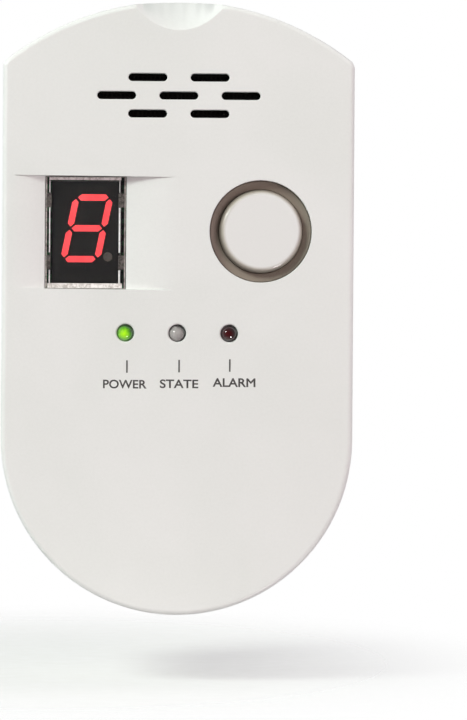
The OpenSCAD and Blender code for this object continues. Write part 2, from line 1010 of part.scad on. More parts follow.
module board_cut(places, r) {
    for (p = places)
        translate([p.x, p.y])
            circle(r = r);
}

module main_board() {
    color("darkgreen")
        difference() {
            intersection() {
                case_solid(wall + board_gap, board_d, board_back_d);
                block(0, (board_low_z + top_z) / 2, body_w, top_z - board_low_z,
                    board_d - over, board_back_d + over);
            }
            scoop(wall + board_gap);
            slab(board_d - over, board_back_d + over) {
                board_cut(case_screw_places, post_r + board_gap);
                board_cut(board_screw_places, board_hole_r);
                board_cut(display_pin_places(), display_pin_r + hole_gap);
                board_cut(led_leg_places(), led_leg_r + hole_gap);
                board_cut(switch_pin_places(), switch_pin_r + hole_gap);
                board_cut(sensor_pin_places(), sensor_pin_r + hole_gap);
                board_cut(header_places(), header_pin_r + hole_gap);
            }
        }
}

module microcontroller() {
    color([0.1, 0.1, 0.1])
        block(chip_place.x, chip_place.y, chip_w, chip_h,
            board_back_d + chip_lift, board_back_d + chip_t);
}

// Gull-wing pins: a flat shoulder out of the package and a foot down to the board
module microcontroller_pins() {
    top_d = board_back_d + chip_pin_rise + chip_pin_t;
    color("silver")
        for (side = [-1, 1])
            for (i = [0:chip_pins / 2 - 1]) {
                x = chip_place.x + (i - (chip_pins / 2 - 1) / 2) * chip_pin_pitch;
                z = chip_place.y + side * (chip_h / 2 + chip_pin_reach / 2);
                block(x, z, chip_pin_w, chip_pin_reach, top_d - chip_pin_t, top_d);
                block(x, z + side * chip_pin_reach / 2, chip_pin_w, chip_pin_t, board_back_d, top_d);
            }
}

module chip_resistors() {
    color([0.16, 0.16, 0.18])
        for (i = [0:resistor_count - 1])
            for (row = [-1, 1])
                block((i - (resistor_count - 1) / 2) * resistor_pitch, led_z + row * resistor_row,
                    resistor_w, resistor_h, board_back_d, board_back_d + resistor_t);
}

// Power board

function header_places() = [for (i = [0:header_pins - 1])
    [(i - (header_pins - 1) / 2) * header_pitch, header_z]];

module power_board() {
    color("darkgreen")
        difference() {
            intersection() {
                block(0, (power_top_z + power_low_z) / 2, 2 * power_half_w, power_top_z - power_low_z,
                    power_front_d, power_back_d);
                rod(0, foot_z, power_front_d - over, power_back_d + over, power_reach_r);
            }
            slab(power_front_d - over, power_back_d + over) {
                board_cut(case_screw_places, post_r + power_board_gap);
                board_cut(power_post_places, board_hole_r);
                board_cut(header_places(), header_pin_r + hole_gap);
            }
        }
}

module link_header() {
    w = header_pins * header_pitch;
    color([0.12, 0.12, 0.12])
        difference() {
            union() {
                block(0, header_z, w, header_t, board_back_d, board_back_d + header_t);
                block(0, header_z, w, header_t, power_front_d - header_t, power_front_d);
            }
            for (p = header_places())
                rod(p.x, p.y, board_back_d - over, power_front_d + over, header_pin_r + hole_gap);
        }
}

module link_pins() {
    color("gold")
        for (p = header_places())
            rod(p.x, p.y, board_d - pin_out, power_back_d + pin_out, header_pin_r);
}

module transformer_core() {
    leg_gap = (core_w - 2 * core_leg - core_mid) / 2;
    color([0.25, 0.25, 0.27])
        difference() {
            block(0, transformer_z, core_w, core_t, core_front_d, core_back_d);
            for (side = [-1, 1])
                block(side * (core_mid + leg_gap) / 2, transformer_z, leg_gap, core_t + 2 * over,
                    core_front_d + core_leg, core_back_d - core_leg);
        }
}

// The former: a sleeve on the core's middle leg between two round cheeks, and a foot on the board
module transformer_bobbin() {
    low_d = core_front_d + core_leg + bobbin_gap;
    high_d = core_back_d - core_leg - bobbin_gap;
    color("black")
        difference() {
            union() {
                rod(0, transformer_z, low_d, high_d, bobbin_r);
                rod(0, transformer_z, low_d, low_d + bobbin_cheek_t, bobbin_flange_r);
                rod(0, transformer_z, high_d - bobbin_cheek_t, high_d, bobbin_flange_r);
                for (side = [-1, 1])
                    block(0, transformer_z + side * bobbin_foot_z, core_w, bobbin_foot_h,
                        high_d - bobbin_cheek_t, power_front_d);
                block(0, transformer_z, core_w, 2 * bobbin_foot_z, core_back_d + bobbin_gap,
                    power_front_d);
            }
            block(0, transformer_z, core_mid + 2 * bobbin_gap, core_t + 2 * bobbin_gap,
                low_d - over, high_d + over);
            block(0, transformer_z, core_w + over, core_t + 2 * bobbin_gap,
                core_back_d - core_leg - bobbin_gap, core_back_d + bobbin_gap);
        }
}

module transformer_coil() {
    low_d = core_front_d + core_leg + bobbin_gap + bobbin_cheek_t;
    high_d = core_back_d - core_leg - bobbin_gap - bobbin_cheek_t;
    color("gold")
        difference() {
            rod(0, transformer_z, low_d, high_d, coil_r);
            rod(0, transformer_z, low_d - over, high_d + over, bobbin_r + eps);
        }
}

module fuse() {
    color("sienna")
        rod(fuse_place.x, fuse_place.y, power_front_d - fuse_l, power_front_d, fuse_r);
}

module varistor() {
    disc_d = power_front_d - varistor_lift - varistor_r;
    color("royalblue") {
        translate([varistor_place.x, face_y + disc_d, varistor_place.y - varistor_t / 2])
            cylinder(h = varistor_t, r = varistor_r);
        for (side = [-1, 1])
            rod(varistor_place.x + side * varistor_leg_pitch / 2, varistor_place.y,
                power_front_d - 2 * varistor_lift, power_front_d, varistor_leg_r);
    }
}

module bridge_rectifier() {
    color([0.1, 0.1, 0.1])
        block(rectifier_place.x, rectifier_place.y, rectifier_w, rectifier_h,
            power_front_d - rectifier_t, power_front_d);
}

// A small package with one flat side
module voltage_regulator() {
    color([0.12, 0.12, 0.12])
        difference() {
            rod(regulator_place.x, regulator_place.y, power_front_d - regulator_l, power_front_d,
                regulator_r);
            block(regulator_place.x + 2 * regulator_flat, regulator_place.y, 2 * regulator_flat,
                3 * regulator_r, power_front_d - regulator_l - over, power_front_d + over);
        }
}

module smoothing_capacitors() {
    color("midnightblue")
        for (c = capacitor_places)
            rod(c[0], c[1], power_front_d - c[3], power_front_d, c[2]);
}

// Fasteners

module board_screws() {
    color("silver") {
        for (p = board_screw_places)
            pan_screw(p.x, p.y, board_back_d, -1,
                board_head_r, board_head_t, board_screw_r, board_screw_l);
        for (p = power_post_places)
            pan_screw(p.x, p.y, power_front_d, 1,
                board_head_r, board_head_t, board_screw_r, board_t + power_post - blind_wall);
    }
}

module case_screws() {
    color("silver")
        for (p = case_screw_places)
            pan_screw(p.x, p.y, screw_seat_d, -1, screw_head_r, screw_head_t, screw_r, screw_l);
}

front_cover();
rear_housing();
plug_insert();
plug_pin(-1);  // plug_pin_left
plug_pin(1);  // plug_pin_right
plug_screws();
live_lead();
neutral_lead();
display_window();
display_body();
display_segments();
display_point();
display_pins();
button_ring();
test_button();
switch_body();
switch_plunger();
switch_pins();
led_green();
led_clear();
led_red();
led_legs();
main_board();
microcontroller();
microcontroller_pins();
chip_resistors();
buzzer();
slot_mesh();
sensor_base();
sensor_cap();
sensor_pins();
power_board();
transformer_core();
transformer_bobbin();
transformer_coil();
fuse();
varistor();
bridge_rectifier();
smoothing_capacitors();
voltage_regulator();
link_header();
link_pins();
board_screws();
case_screws();
rating_label();
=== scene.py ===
# %% [markdown]
# # A plug-in carbon monoxide detector
# The real thing is a white moulded case, about as tall as a hand is wide, that hangs on a mains socket by
# its own plug. Its front holds a one-digit display, a test button, three lamps and the sounder's slots.
# The engineering model is already there as a fixed frame: every part has its place and size in it. This
# lesson dresses it. It softens the moulded edges, turns the round parts, prints the markings, and gives
# each piece the finish of its own material. Starting from the frame keeps every new piece in its true place.

# %% The fixed frame
import json
from math import cos, radians, sin, tau

import bmesh
import bpy
from mathutils import Matrix, Vector

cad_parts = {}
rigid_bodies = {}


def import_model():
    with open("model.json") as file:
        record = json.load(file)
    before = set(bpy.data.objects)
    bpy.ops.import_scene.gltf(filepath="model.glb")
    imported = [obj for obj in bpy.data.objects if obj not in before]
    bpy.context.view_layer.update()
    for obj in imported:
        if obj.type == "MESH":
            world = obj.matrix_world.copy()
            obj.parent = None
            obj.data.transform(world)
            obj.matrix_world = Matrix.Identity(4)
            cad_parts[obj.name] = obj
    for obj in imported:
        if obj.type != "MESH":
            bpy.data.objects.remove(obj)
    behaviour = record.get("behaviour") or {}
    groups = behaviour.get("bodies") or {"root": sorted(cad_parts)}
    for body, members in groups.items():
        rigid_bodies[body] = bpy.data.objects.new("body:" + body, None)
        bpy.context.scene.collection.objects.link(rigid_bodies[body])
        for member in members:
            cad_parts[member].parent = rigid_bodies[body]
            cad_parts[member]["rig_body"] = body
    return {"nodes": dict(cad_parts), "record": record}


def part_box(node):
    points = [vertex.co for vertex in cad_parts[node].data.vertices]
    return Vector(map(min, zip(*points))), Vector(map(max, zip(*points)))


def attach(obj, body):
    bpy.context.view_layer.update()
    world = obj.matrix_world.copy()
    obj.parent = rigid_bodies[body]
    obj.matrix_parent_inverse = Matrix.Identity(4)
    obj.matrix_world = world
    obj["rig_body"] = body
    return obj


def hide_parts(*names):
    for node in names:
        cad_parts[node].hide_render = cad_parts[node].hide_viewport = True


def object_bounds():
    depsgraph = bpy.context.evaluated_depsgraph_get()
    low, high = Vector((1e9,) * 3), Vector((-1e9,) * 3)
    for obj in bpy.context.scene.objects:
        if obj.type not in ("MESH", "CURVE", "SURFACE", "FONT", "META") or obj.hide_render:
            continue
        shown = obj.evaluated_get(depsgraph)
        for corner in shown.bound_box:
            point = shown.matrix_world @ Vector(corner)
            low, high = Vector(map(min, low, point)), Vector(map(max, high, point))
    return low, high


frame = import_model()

frame_low, frame_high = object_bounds()
scene = bpy.context.scene
print("nodes", len(frame["nodes"]), "size in mm", [round(1000 * s, 1) for s in frame_high - frame_low])

# %% [markdown]
# Blender works in metres and a part like this is drawn in millimetres, so one function converts lengths.
# Places come from the boxes of the frame's own nodes. The front face is the cover's lowest Y, and `depth`
# means the distance behind it, which is how a case like this is dimensioned on a drawing.

# %% Lengths and places
def mm(length):
    return length / 1000


def middle(node):
    low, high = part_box(node)
    return (low + high) / 2


COVER_LOW, COVER_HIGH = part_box("front_cover")
FACE = COVER_LOW.y
CENTRE = (COVER_LOW + COVER_HIGH) / 2
print("front face at", round(FACE, 4), "case centre", [round(v, 4) for v in CENTRE])

# %% [markdown]
# The camera comes first, because everything is judged through it. A product is shown from far off with a
# long lens, so that its sides stay parallel: here a 200 mm lens on a 36 mm sensor. The distance follows
# from how much height is taken in at the front face. The lens is shifted instead of turned, which keeps
# the sides parallel and leaves the case a little above and to the left of the middle. The camera leans by
# 0.4 degrees, as a hand-placed one does.

# %% Camera
LENS = 200
SENSOR = 36
FRAME_HEIGHT = mm(132.96)
CAMERA_LEAN = radians(-0.4)
SHIFT_RIGHT, SHIFT_UP = 0.0779, -0.0722
camera_distance = FRAME_HEIGHT * LENS / SENSOR

camera = bpy.data.objects.new("camera", bpy.data.cameras.new("camera"))
camera.data.lens = LENS
camera.data.sensor_width = SENSOR
camera.data.shift_x = SHIFT_RIGHT
camera.data.shift_y = SHIFT_UP
camera.data.clip_start = 0.01
camera.data.clip_end = 20
camera.location = (0, FACE - camera_distance, CENTRE.z)
camera.rotation_euler = (radians(90), CAMERA_LEAN, 0)
scene.collection.objects.link(camera)
scene.camera = camera
scene.view_settings.view_transform = "Standard"
print("camera distance", round(camera_distance, 3), "m")

# %% [markdown]
# Colours are written as sRGB hex values, the way a colour picker shows them, and shaders want linear
# light. One function turns one into the other, so that every colour in the lesson is treated alike.

# %% Colour
def colour(code):
    parts = [int(code[i:i + 2], 16) / 255 for i in (1, 3, 5)]
    return [p / 12.92 if p <= 0.04045 else ((p + 0.055) / 1.055) ** 2.4 for p in parts] + [1.0]


print("mid grey is", round(colour("#808080")[0], 3), "in linear light")

# %% [markdown]
# A node tree is a list of small machines joined by wires. The helper below adds one node, sets what it is
# told to set, and joins the wires that come in. A setting is an attribute of the node, or the value of one
# of its sockets. A wire starts at a node's first output unless a socket is given. Colour ramps get their
# stops as (place, hex) pairs.

# %% One helper for every node
def add(tree, kind, settings=None, wires=None):
    node = tree.nodes.new("ShaderNode" + kind)
    for name, value in (settings or {}).items():
        if name == "stops":
            ramp = node.color_ramp.elements
            while len(ramp) < len(value):
                ramp.new(0.5)
            for stop, (place, code) in zip(ramp, value):
                stop.position = place
                stop.color = colour(code)
        elif isinstance(name, int) or name in node.inputs:
            node.inputs[name].default_value = value
        else:
            setattr(node, name, value)
    for name, source in (wires or {}).items():
        tree.links.new(source.outputs[0] if hasattr(source, "outputs") else source, node.inputs[name])
    return node


def per(size):
    """A texture's scale that repeats a feature once in so many millimetres."""
    return 1 / mm(size)


def finish(name, steady):
    """A material with one Principled shader. Its steady values are set on the shader's own sockets."""
    made = bpy.data.materials.new(name)
    made.use_nodes = True
    tree = made.node_tree
    shader = tree.nodes["Principled BSDF"]
    for socket, value in steady.items():
        shader.inputs[socket].default_value = value
    place = add(tree, "TexCoord").outputs["Object"]
    return made, tree, shader, place


def roughen(tree, shader, source, low, high):
    """Lets a pattern move the gloss between two roughness values."""
    spread = add(tree, "MapRange", {"To Min": low, "To Max": high}, {"Value": source})
    tree.links.new(spread.outputs["Result"], shader.inputs["Roughness"])


def emboss(tree, shader, source, depth, strength=1.0):
    """Lets a pattern stand up by a depth in millimetres."""
    bump = add(tree, "Bump", {"Strength": strength, "Distance": mm(depth)}, {"Height": source})
    tree.links.new(bump.outputs["Normal"], shader.inputs["Normal"])


FINISHES = {}
print("node helper ready")

# %% [markdown]
# ## The studio
# White products are lit with big soft sources. Here the main one is high on the left and very slightly
# green, a wider and weaker one on the right is a touch pinker, and a faint one overhead lights the floor
# and the top edge. One at each side draws a pale line down that flank. Small powers are enough, because
# the object is small and the lamps are near. Big lamps would wash out glossy domes, so only two small glint
# lamps are seen in reflections, and those two give no diffuse light. The surround is white to the camera,
# and dimmer for lighting, most of all in front, so that the lamps still shape the form. Each light below
# has its place, what it aims at, its width in metres, its power in watts and its colour.

# %% Lights
def soft_light(name, place, aim, size, power, code, glint=False):
    data = bpy.data.lights.new(name, "AREA")
    data.shape = "DISK"
    data.size = size
    data.energy = power
    data.color = colour(code)[:3]
    lamp = bpy.data.objects.new(name, data)
    lamp.location = place
    lamp.rotation_euler = (Vector(aim) - Vector(place)).to_track_quat("-Z", "Y").to_euler()
    lamp.visible_glossy = glint
    lamp.visible_diffuse = not glint
    scene.collection.objects.link(lamp)
    return lamp


soft_light("key", (-0.62, -0.72, 0.62), CENTRE, 0.45, 9.0, "#f6fff7")
soft_light("fill", (0.50, -0.95, 0.00), CENTRE, 0.70, 4.0, "#ffe8ea")
soft_light("overhead", (0.40, 0.08, 0.70), CENTRE, 0.45, 0.7, "#ffffff")
soft_light("left_rim", (-0.90, -0.12, 0.35), CENTRE, 0.30, 2.0, "#ffffff")
soft_light("right_rim", (0.90, -0.22, 0.05), CENTRE, 0.40, 1.6, "#ffffff")
soft_light("upper_glint", (-0.55, -0.55, 0.30), CENTRE, 0.14, 2.6, "#ffffff", glint=True)
soft_light("lower_glint", (0.36, -0.55, -0.70), CENTRE, 0.16, 3.4, "#ffffff", glint=True)

surround = bpy.data.worlds.new("white_surround")
surround.use_nodes = True
scene.world = surround
tree = surround.node_tree
tree.nodes.clear()
direction = add(tree, "TexCoord").outputs["Generated"]
axes = add(tree, "SeparateXYZ", {}, {"Vector": direction})
front_dim = add(tree, "MapRange", {"From Min": -1.0, "From Max": 0.2, "To Min": 0.08, "To Max": 0.42},
    {"Value": axes.outputs["Y"]})
lighting = add(tree, "Background", {"Color": colour("#fdfdff")}, {"Strength": front_dim})
backdrop = add(tree, "Background", {"Color": colour("#ffffff"), "Strength": 1.0})
seen = add(tree, "LightPath").outputs["Is Camera Ray"]
both = add(tree, "MixShader", {}, {"Fac": seen, 1: lighting, 2: backdrop})
add(tree, "OutputWorld", {}, {"Surface": both})

# %% [markdown]
# The floor is a pale disc that lies a little below the case, since the real thing hangs on a socket and
# touches nothing. It catches the soft shadow, and it fades out well inside its rim, so that no edge shows.
# A disc with such a fade is simpler than a curved backdrop. The fade is an oval, narrower from side to side,
# and its middle lies a little to the left, so that the shadow on the right thins out early.

# %% Floor
FLOOR_GAP = mm(13)
FLOOR_RADIUS = mm(500)
SHADE_SHIFT = mm(25)
SHADE_OVAL = (1.5, 1, 0)
shape = bmesh.new()
bmesh.ops.create_circle(shape, cap_ends=True, segments=96, radius=FLOOR_RADIUS)
bmesh.ops.translate(shape, verts=shape.verts, vec=(0, CENTRE.y, frame_low.z - FLOOR_GAP))
floor_mesh = bpy.data.meshes.new("floor")
shape.to_mesh(floor_mesh)
shape.free()
floor = bpy.data.objects.new("floor", floor_mesh)
scene.collection.objects.link(floor)

made, tree, shader, place = finish("pale_paper_floor", {"Roughness": 0.9, "Specular IOR Level": 0.1,
    "Emission Color": colour("#ffffff"), "Emission Strength": 0.08})
beside = add(tree, "Mapping", {"Location": (SHADE_SHIFT, 0, 0)}, {"Vector": place})
flat = add(tree, "VectorMath", {"operation": "MULTIPLY", 1: SHADE_OVAL}, {0: beside})
distance = add(tree, "VectorMath", {"operation": "LENGTH"}, {0: flat}).outputs["Value"]
fade = add(tree, "MapRange", {"From Min": mm(20), "From Max": mm(150), "To Min": 0.85, "To Max": 0.0,
    "interpolation_type": "SMOOTHSTEP"}, {"Value": distance})
fibre = add(tree, "TexNoise", {"Scale": per(4), "Detail": 4.0}, {"Vector": place})
paper = add(tree, "ValToRGB", {"stops": [(0.3, "#ececea"), (0.7, "#f0f0ef")]}, {"Fac": fibre})
tree.links.new(paper.outputs["Color"], shader.inputs["Base Color"])
tree.links.new(fade.outputs["Result"], shader.inputs["Alpha"])
floor_mesh.materials.append(made)
print("floor at", round(frame_low.z - FLOOR_GAP, 4))

# %% [markdown]
# ## Moulded plastics
# Most of the object is injection-moulded plastic. Such a surface is never perfectly even. The steel mould
# is spark-eroded, which leaves a fine grain. The plastic flows in at one place and sets at another, which
# leaves very faint clouds of tone. Both also change the gloss a little. One recipe holds for all of
# them, with the colours, the grain and the gloss of each plastic given to it.

# %% A recipe for moulded plastic
def moulded(name, light, dark, grain, grain_depth, gloss, cloud=22, steady=None):
    """Colours as hex, grain and cloud sizes and grain depth in mm, and gloss as (low, high) roughness."""
    made, tree, shader, place = finish(name, {"IOR": 1.53, **(steady or {})})
    flow = add(tree, "TexNoise", {"Scale": per(cloud), "Detail": 3.0, "Distortion": 0.6}, {"Vector": place})
    pits = add(tree, "TexNoise", {"Scale": per(grain), "Detail": 2.0, "Roughness": 0.6}, {"Vector": place})
    tone = add(tree, "ValToRGB", {"stops": [(0.3, dark), (0.7, light)]}, {"Fac": flow})
    speck = add(tree, "MapRange", {"From Min": 0.25, "From Max": 0.75, "To Min": 0.97, "To Max": 1.0},
        {"Value": pits})
    shade = add(tree, "VectorMath", {"operation": "SCALE"}, {0: tone, "Scale": speck})
    tree.links.new(shade.outputs["Vector"], shader.inputs["Base Color"])
    mixed = add(tree, "Math", {"operation": "MULTIPLY"}, {0: flow, 1: pits})
    wide = add(tree, "MapRange", {"From Min": 0.1, "From Max": 0.4}, {"Value": mixed})
    roughen(tree, shader, wide, *gloss)
    emboss(tree, shader, pits, grain_depth, 0.35)
    return made


print("recipe: moulded plastic")

# %% [markdown]
# The case is ABS, in a slightly warm white, moulded with a fine satin grain. The real grain is about
# 0.1 mm and would vanish at this size, so it is drawn at 0.5 mm and kept very shallow. The button is the
# same ABS from a smoother mould, with its own recipe: its shoulder darkens towards the edge with painted
# shade, which stands in for the shade of its well and the reflection of the dark ring. The ring is a
# grey-brown ABS. The switch, buzzer, sensor base, bobbin, chips and connector share a black,
# glass-filled nylon with deeper pits, and the plunger is ivory acetal.

# %% White and grey ABS, black and ivory plastics
FINISHES["white_plastic"] = moulded("satin_white_abs", "#f0f0ef", "#ecedeb", 0.5, 0.012, (0.34, 0.46))
FINISHES["grey_plastic"] = moulded("grey_brown_abs", "#9c9185", "#857a70", 0.4, 0.012, (0.24, 0.36))
FINISHES["black_plastic"] = moulded("black_glass_filled_nylon", "#26262a", "#1b1b1d", 0.3, 0.02,
    (0.42, 0.62), 6)
FINISHES["ivory_plastic"] = moulded("ivory_acetal", "#e9e2cb", "#ded5ba", 0.25, 0.008, (0.3, 0.42), 5)

# The middle of the painted shoulder shade sits a little right of and above the button's axis, so the painted
# shade is wider at the left and bottom.
PAINTED_SHADE_SHIFT = Vector((mm(0.2), 0, mm(0.12)))
PAINTED_SHADE_START, PAINTED_SHADE_END = mm(6.6), mm(7.75)


def button_abs_with_painted_shade():
    """White in the middle. The shoulder carries painted shade and a painted reflection of the dark ring."""
    made, tree, shader, place = finish("smooth_white_abs_painted_shoulder_shade", {"IOR": 1.53, "Coat Weight": 0.3,
        "Coat Roughness": 0.12})
    centre = middle("test_button") + PAINTED_SHADE_SHIFT
    local = add(tree, "Mapping", {"Location": (-centre.x, 0, -centre.z)}, {"Vector": place})
    flat = add(tree, "VectorMath", {"operation": "MULTIPLY", 1: (1, 0, 1)}, {0: local})
    reach = add(tree, "VectorMath", {"operation": "LENGTH"}, {0: flat}).outputs["Value"]
    shoulder = add(tree, "MapRange", {"From Min": PAINTED_SHADE_START, "From Max": PAINTED_SHADE_END}, {"Value": reach})
    # Painted shade: the darker stops stand in for shade and the ring's reflection on the shoulder, not for
    # the plastic's colour.
    tone = add(tree, "ValToRGB", {"stops": [(0.0, "#efeeed"), (0.25, "#dfdcd8"), (0.55, "#b5ada2"),
        (1.0, "#6f675d")]}, {"Fac": shoulder})
    pits = add(tree, "TexNoise", {"Scale": per(0.35), "Detail": 2.0}, {"Vector": place})
    speck = add(tree, "MapRange", {"To Min": 0.97, "To Max": 1.0}, {"Value": pits})
    shade = add(tree, "VectorMath", {"operation": "SCALE"}, {0: tone, "Scale": speck})
    tree.links.new(shade.outputs["Vector"], shader.inputs["Base Color"])
    roughen(tree, shader, pits, 0.28, 0.38)
    emboss(tree, shader, pits, 0.006, 0.35)
    return made


FINISHES["button_plastic"] = button_abs_with_painted_shade()
print("plastics", len(FINISHES))

# %% [markdown]
# ## Metals
# Small metal parts are drawn, stamped or turned, and then plated. Drawing leaves fine lines along the
# part, and plating leaves a soft blotchiness. A metal's colour is the colour of its reflection, so the
# base colour carries it and metallic is 1. Lines are a noise that is stretched by a Mapping node: far
# along one axis and fine across the others.

# %% A recipe for plated metal
def plated(name, light, dark, line, stretch, gloss, blotch=3):
    """Colours as hex, line width and blotch size in mm, stretch as a scale for each axis."""
    made, tree, shader, place = finish(name, {"Metallic": 1.0})
    drawn = add(tree, "Mapping", {"Scale": stretch}, {"Vector": place})
    lines = add(tree, "TexNoise", {"Scale": per(line), "Detail": 4.0}, {"Vector": drawn})
    clouds = add(tree, "TexNoise", {"Scale": per(blotch), "Detail": 3.0}, {"Vector": place})
    tone = add(tree, "ValToRGB", {"stops": [(0.3, dark), (0.7, light)]}, {"Fac": clouds})
    tree.links.new(tone.outputs["Color"], shader.inputs["Base Color"])
    roughen(tree, shader, lines, *gloss)
    emboss(tree, shader, lines, 0.004, 0.3)
    return made


ALONG_DEPTH = (1, 0.05, 1)
EVEN = (1, 1, 1)
FINISHES["nickel_pin"] = plated("nickel_plated_brass", "#dcd8cf", "#c9c4b8", 0.25, ALONG_DEPTH, (0.16, 0.34))
FINISHES["tinned_metal"] = plated("tinned_copper", "#d6d5d0", "#bcbab4", 0.2, ALONG_DEPTH, (0.28, 0.48), 1)
FINISHES["zinc_screw"] = plated("zinc_plated_steel", "#cfd3d8", "#b3b9c2", 0.15, EVEN, (0.26, 0.46), 1)
FINISHES["gold_pin"] = plated("gold_flashed_bronze", "#e7c270", "#d0a650", 0.15, ALONG_DEPTH, (0.18, 0.34), 1)
FINISHES["sensor_steel"] = plated("drawn_stainless_steel", "#d2d2cf", "#bdbdba", 0.12, ALONG_DEPTH,
    (0.22, 0.42), 4)
print("metals", [f for f in FINISHES if FINISHES[f].name.endswith(("brass", "copper", "steel", "bronze"))])

# %% [markdown]
# ## The display
# A seven-segment display is a black housing with a matt mask printed on its face. Seven light guides filled
# with a cloudy resin come to the surface as bars. Lit, each bar is bright pinkish red and a little uneven,
# because one tiny chip lights it from behind. The decimal point is not lit, so its resin shows grey-brown.

# %% Display finishes
def display_face():
    made, tree, shader, place = finish("black_display_mask", {"IOR": 1.5})
    smudge = add(tree, "TexNoise", {"Scale": per(5), "Detail": 4.0, "Distortion": 1.5}, {"Vector": place})
    upright = add(tree, "Mapping", {"Scale": (1, 1, 0.08)}, {"Vector": place})
    wipe = add(tree, "TexNoise", {"Scale": per(0.9), "Detail": 3.0}, {"Vector": upright})
    tone = add(tree, "ValToRGB", {"stops": [(0.35, "#080706"), (0.65, "#120f0d")]}, {"Fac": wipe})
    tree.links.new(tone.outputs["Color"], shader.inputs["Base Color"])
    roughen(tree, shader, smudge, 0.38, 0.6)
    emboss(tree, shader, wipe, 0.004, 0.4)
    return made


def lit_segment():
    made, tree, shader, place = finish("lit_red_resin", {"IOR": 1.5, "Emission Strength": 1.0,
        "Base Color": colour("#d84a48")})
    cloudy = add(tree, "TexNoise", {"Scale": per(1.6), "Detail": 2.0}, {"Vector": place})
    glow = add(tree, "ValToRGB", {"stops": [(0.3, "#f43a44"), (0.7, "#ff4a52")]}, {"Fac": cloudy})
    tree.links.new(glow.outputs["Color"], shader.inputs["Emission Color"])
    roughen(tree, shader, cloudy, 0.4, 0.55)
    return made


def unlit_point():
    made, tree, shader, place = finish("unlit_cloudy_resin", {"IOR": 1.5, "Subsurface Weight": 0.2,
        "Subsurface Scale": mm(0.3)})
    cloudy = add(tree, "TexNoise", {"Scale": per(0.5), "Detail": 3.0}, {"Vector": place})
    tone = add(tree, "ValToRGB", {"stops": [(0.3, "#5a524d"), (0.7, "#71675f")]}, {"Fac": cloudy})
    tree.links.new(tone.outputs["Color"], shader.inputs["Base Color"])
    roughen(tree, shader, cloudy, 0.35, 0.5)
    return made


FINISHES["display_black"] = display_face()
FINISHES["display_red"] = lit_segment()
FINISHES["display_grey"] = unlit_point()
print("display finishes", 3)

# %% [markdown]
# The window is a clear polycarbonate box that drops in from behind. Its front is polished, and its side
# walls come from an unpolished mould, so they look frosted and catch light as pale lines. Two finishes share
# one recipe: only the roughness and the ripple differ. A real transmission shader is used, because the dark
# display has to show through it and its edges have to bend the light.

# %% Clear polycarbonate, polished and frosted
def clear_moulding(name, code, gloss, ripple, ripple_depth):
    made, tree, shader, place = finish(name, {"IOR": 1.58, "Transmission Weight": 1.0,
        "Base Color": colour(code)})
    waves = add(tree, "TexNoise", {"Scale": per(ripple), "Detail": 2.0}, {"Vector": place})
    roughen(tree, shader, waves, *gloss)
    emboss(tree, shader, waves, ripple_depth, 0.4)
    return made


FINISHES["clear_plastic"] = clear_moulding("polished_polycarbonate", "#fbfcfc", (0.0, 0.03), 6, 0.01)
FROSTED = clear_moulding("frosted_polycarbonate", "#f2f2f0", (0.35, 0.6), 0.4, 0.03)
print("window finishes", FINISHES["clear_plastic"].name, FROSTED.name)

# %% [markdown]
# ## The lamps
# An LED's body is cast epoxy with a domed end. The lit lamp's own light leaves mostly through the dome,
# brightest in the middle. On all three lamps the body colour is darker towards the rim as painted shade,
# for the shade of the hole's edge. The pattern is a distance from a line beside the lamp's own axis, which a
# Mapping node puts down and to the left of its centre. So the bright spot leans that way, and the painted
# shade is darkest at the upper right.

# %% Epoxy finishes for the lamps
LAMPS = {"led_green": middle("led_green"), "led_clear": middle("led_clear"), "led_red": middle("led_red")}
LAMP_R = mm(1.5)
# How far the middle of the painted rim shade sits down and to the left of each lamp's axis.
PAINTED_SHADE_LEAN = mm(0.2)


def from_axis(tree, place, centre):
    """Distance from a line beside a lamp's axis, 0 on the line and about 1 at the dome's rim."""
    local = add(tree, "Mapping", {"Location": (PAINTED_SHADE_LEAN - centre.x, 0, PAINTED_SHADE_LEAN - centre.z)},
        {"Vector": place})
    flat = add(tree, "VectorMath", {"operation": "MULTIPLY", 1: (1, 0, 1)}, {0: local})
    reach = add(tree, "VectorMath", {"operation": "LENGTH"}, {0: flat}).outputs["Value"]
    return add(tree, "Math", {"operation": "DIVIDE", 1: LAMP_R}, {0: reach})


def lamp_epoxy(name, lamp, body, glow, strength, steady):
    """body and glow are colours from the middle to the rim. body's darker rim colours are painted shade, and
    glow is the lit lamp's own light.
    """
    made, tree, shader, place = finish(name, {"IOR": 1.54, "Emission Strength": strength, "Coat Weight": 1.0,
        "Coat Roughness": 0.03, **steady})
    streaks = add(tree, "TexNoise", {"Scale": per(0.8), "Detail": 2.0, "Distortion": 1.0}, {"Vector": place})
    reach = from_axis(tree, place, LAMPS[lamp])
    uneven = add(tree, "MapRange", {"To Min": -0.22, "To Max": 0.22}, {"Value": streaks})
    spread = add(tree, "Math", {"operation": "ADD"}, {0: reach, 1: uneven})
    stops = [(0.05, 0), (0.45, 1), (0.75, 2), (1.0, 3)]
    # Painted shade: the body stops darken from the middle to the rim, most at the upper right.
    tint_and_painted_shade = add(tree, "ValToRGB", {"stops": [(p, body[i]) for p, i in stops]}, {"Fac": spread})
    light = add(tree, "ValToRGB", {"stops": [(p, glow[i]) for p, i in stops]}, {"Fac": spread})
    tree.links.new(tint_and_painted_shade.outputs["Color"], shader.inputs["Base Color"])
    tree.links.new(light.outputs["Color"], shader.inputs["Emission Color"])
    roughen(tree, shader, streaks, 0.04, 0.12)
    return made


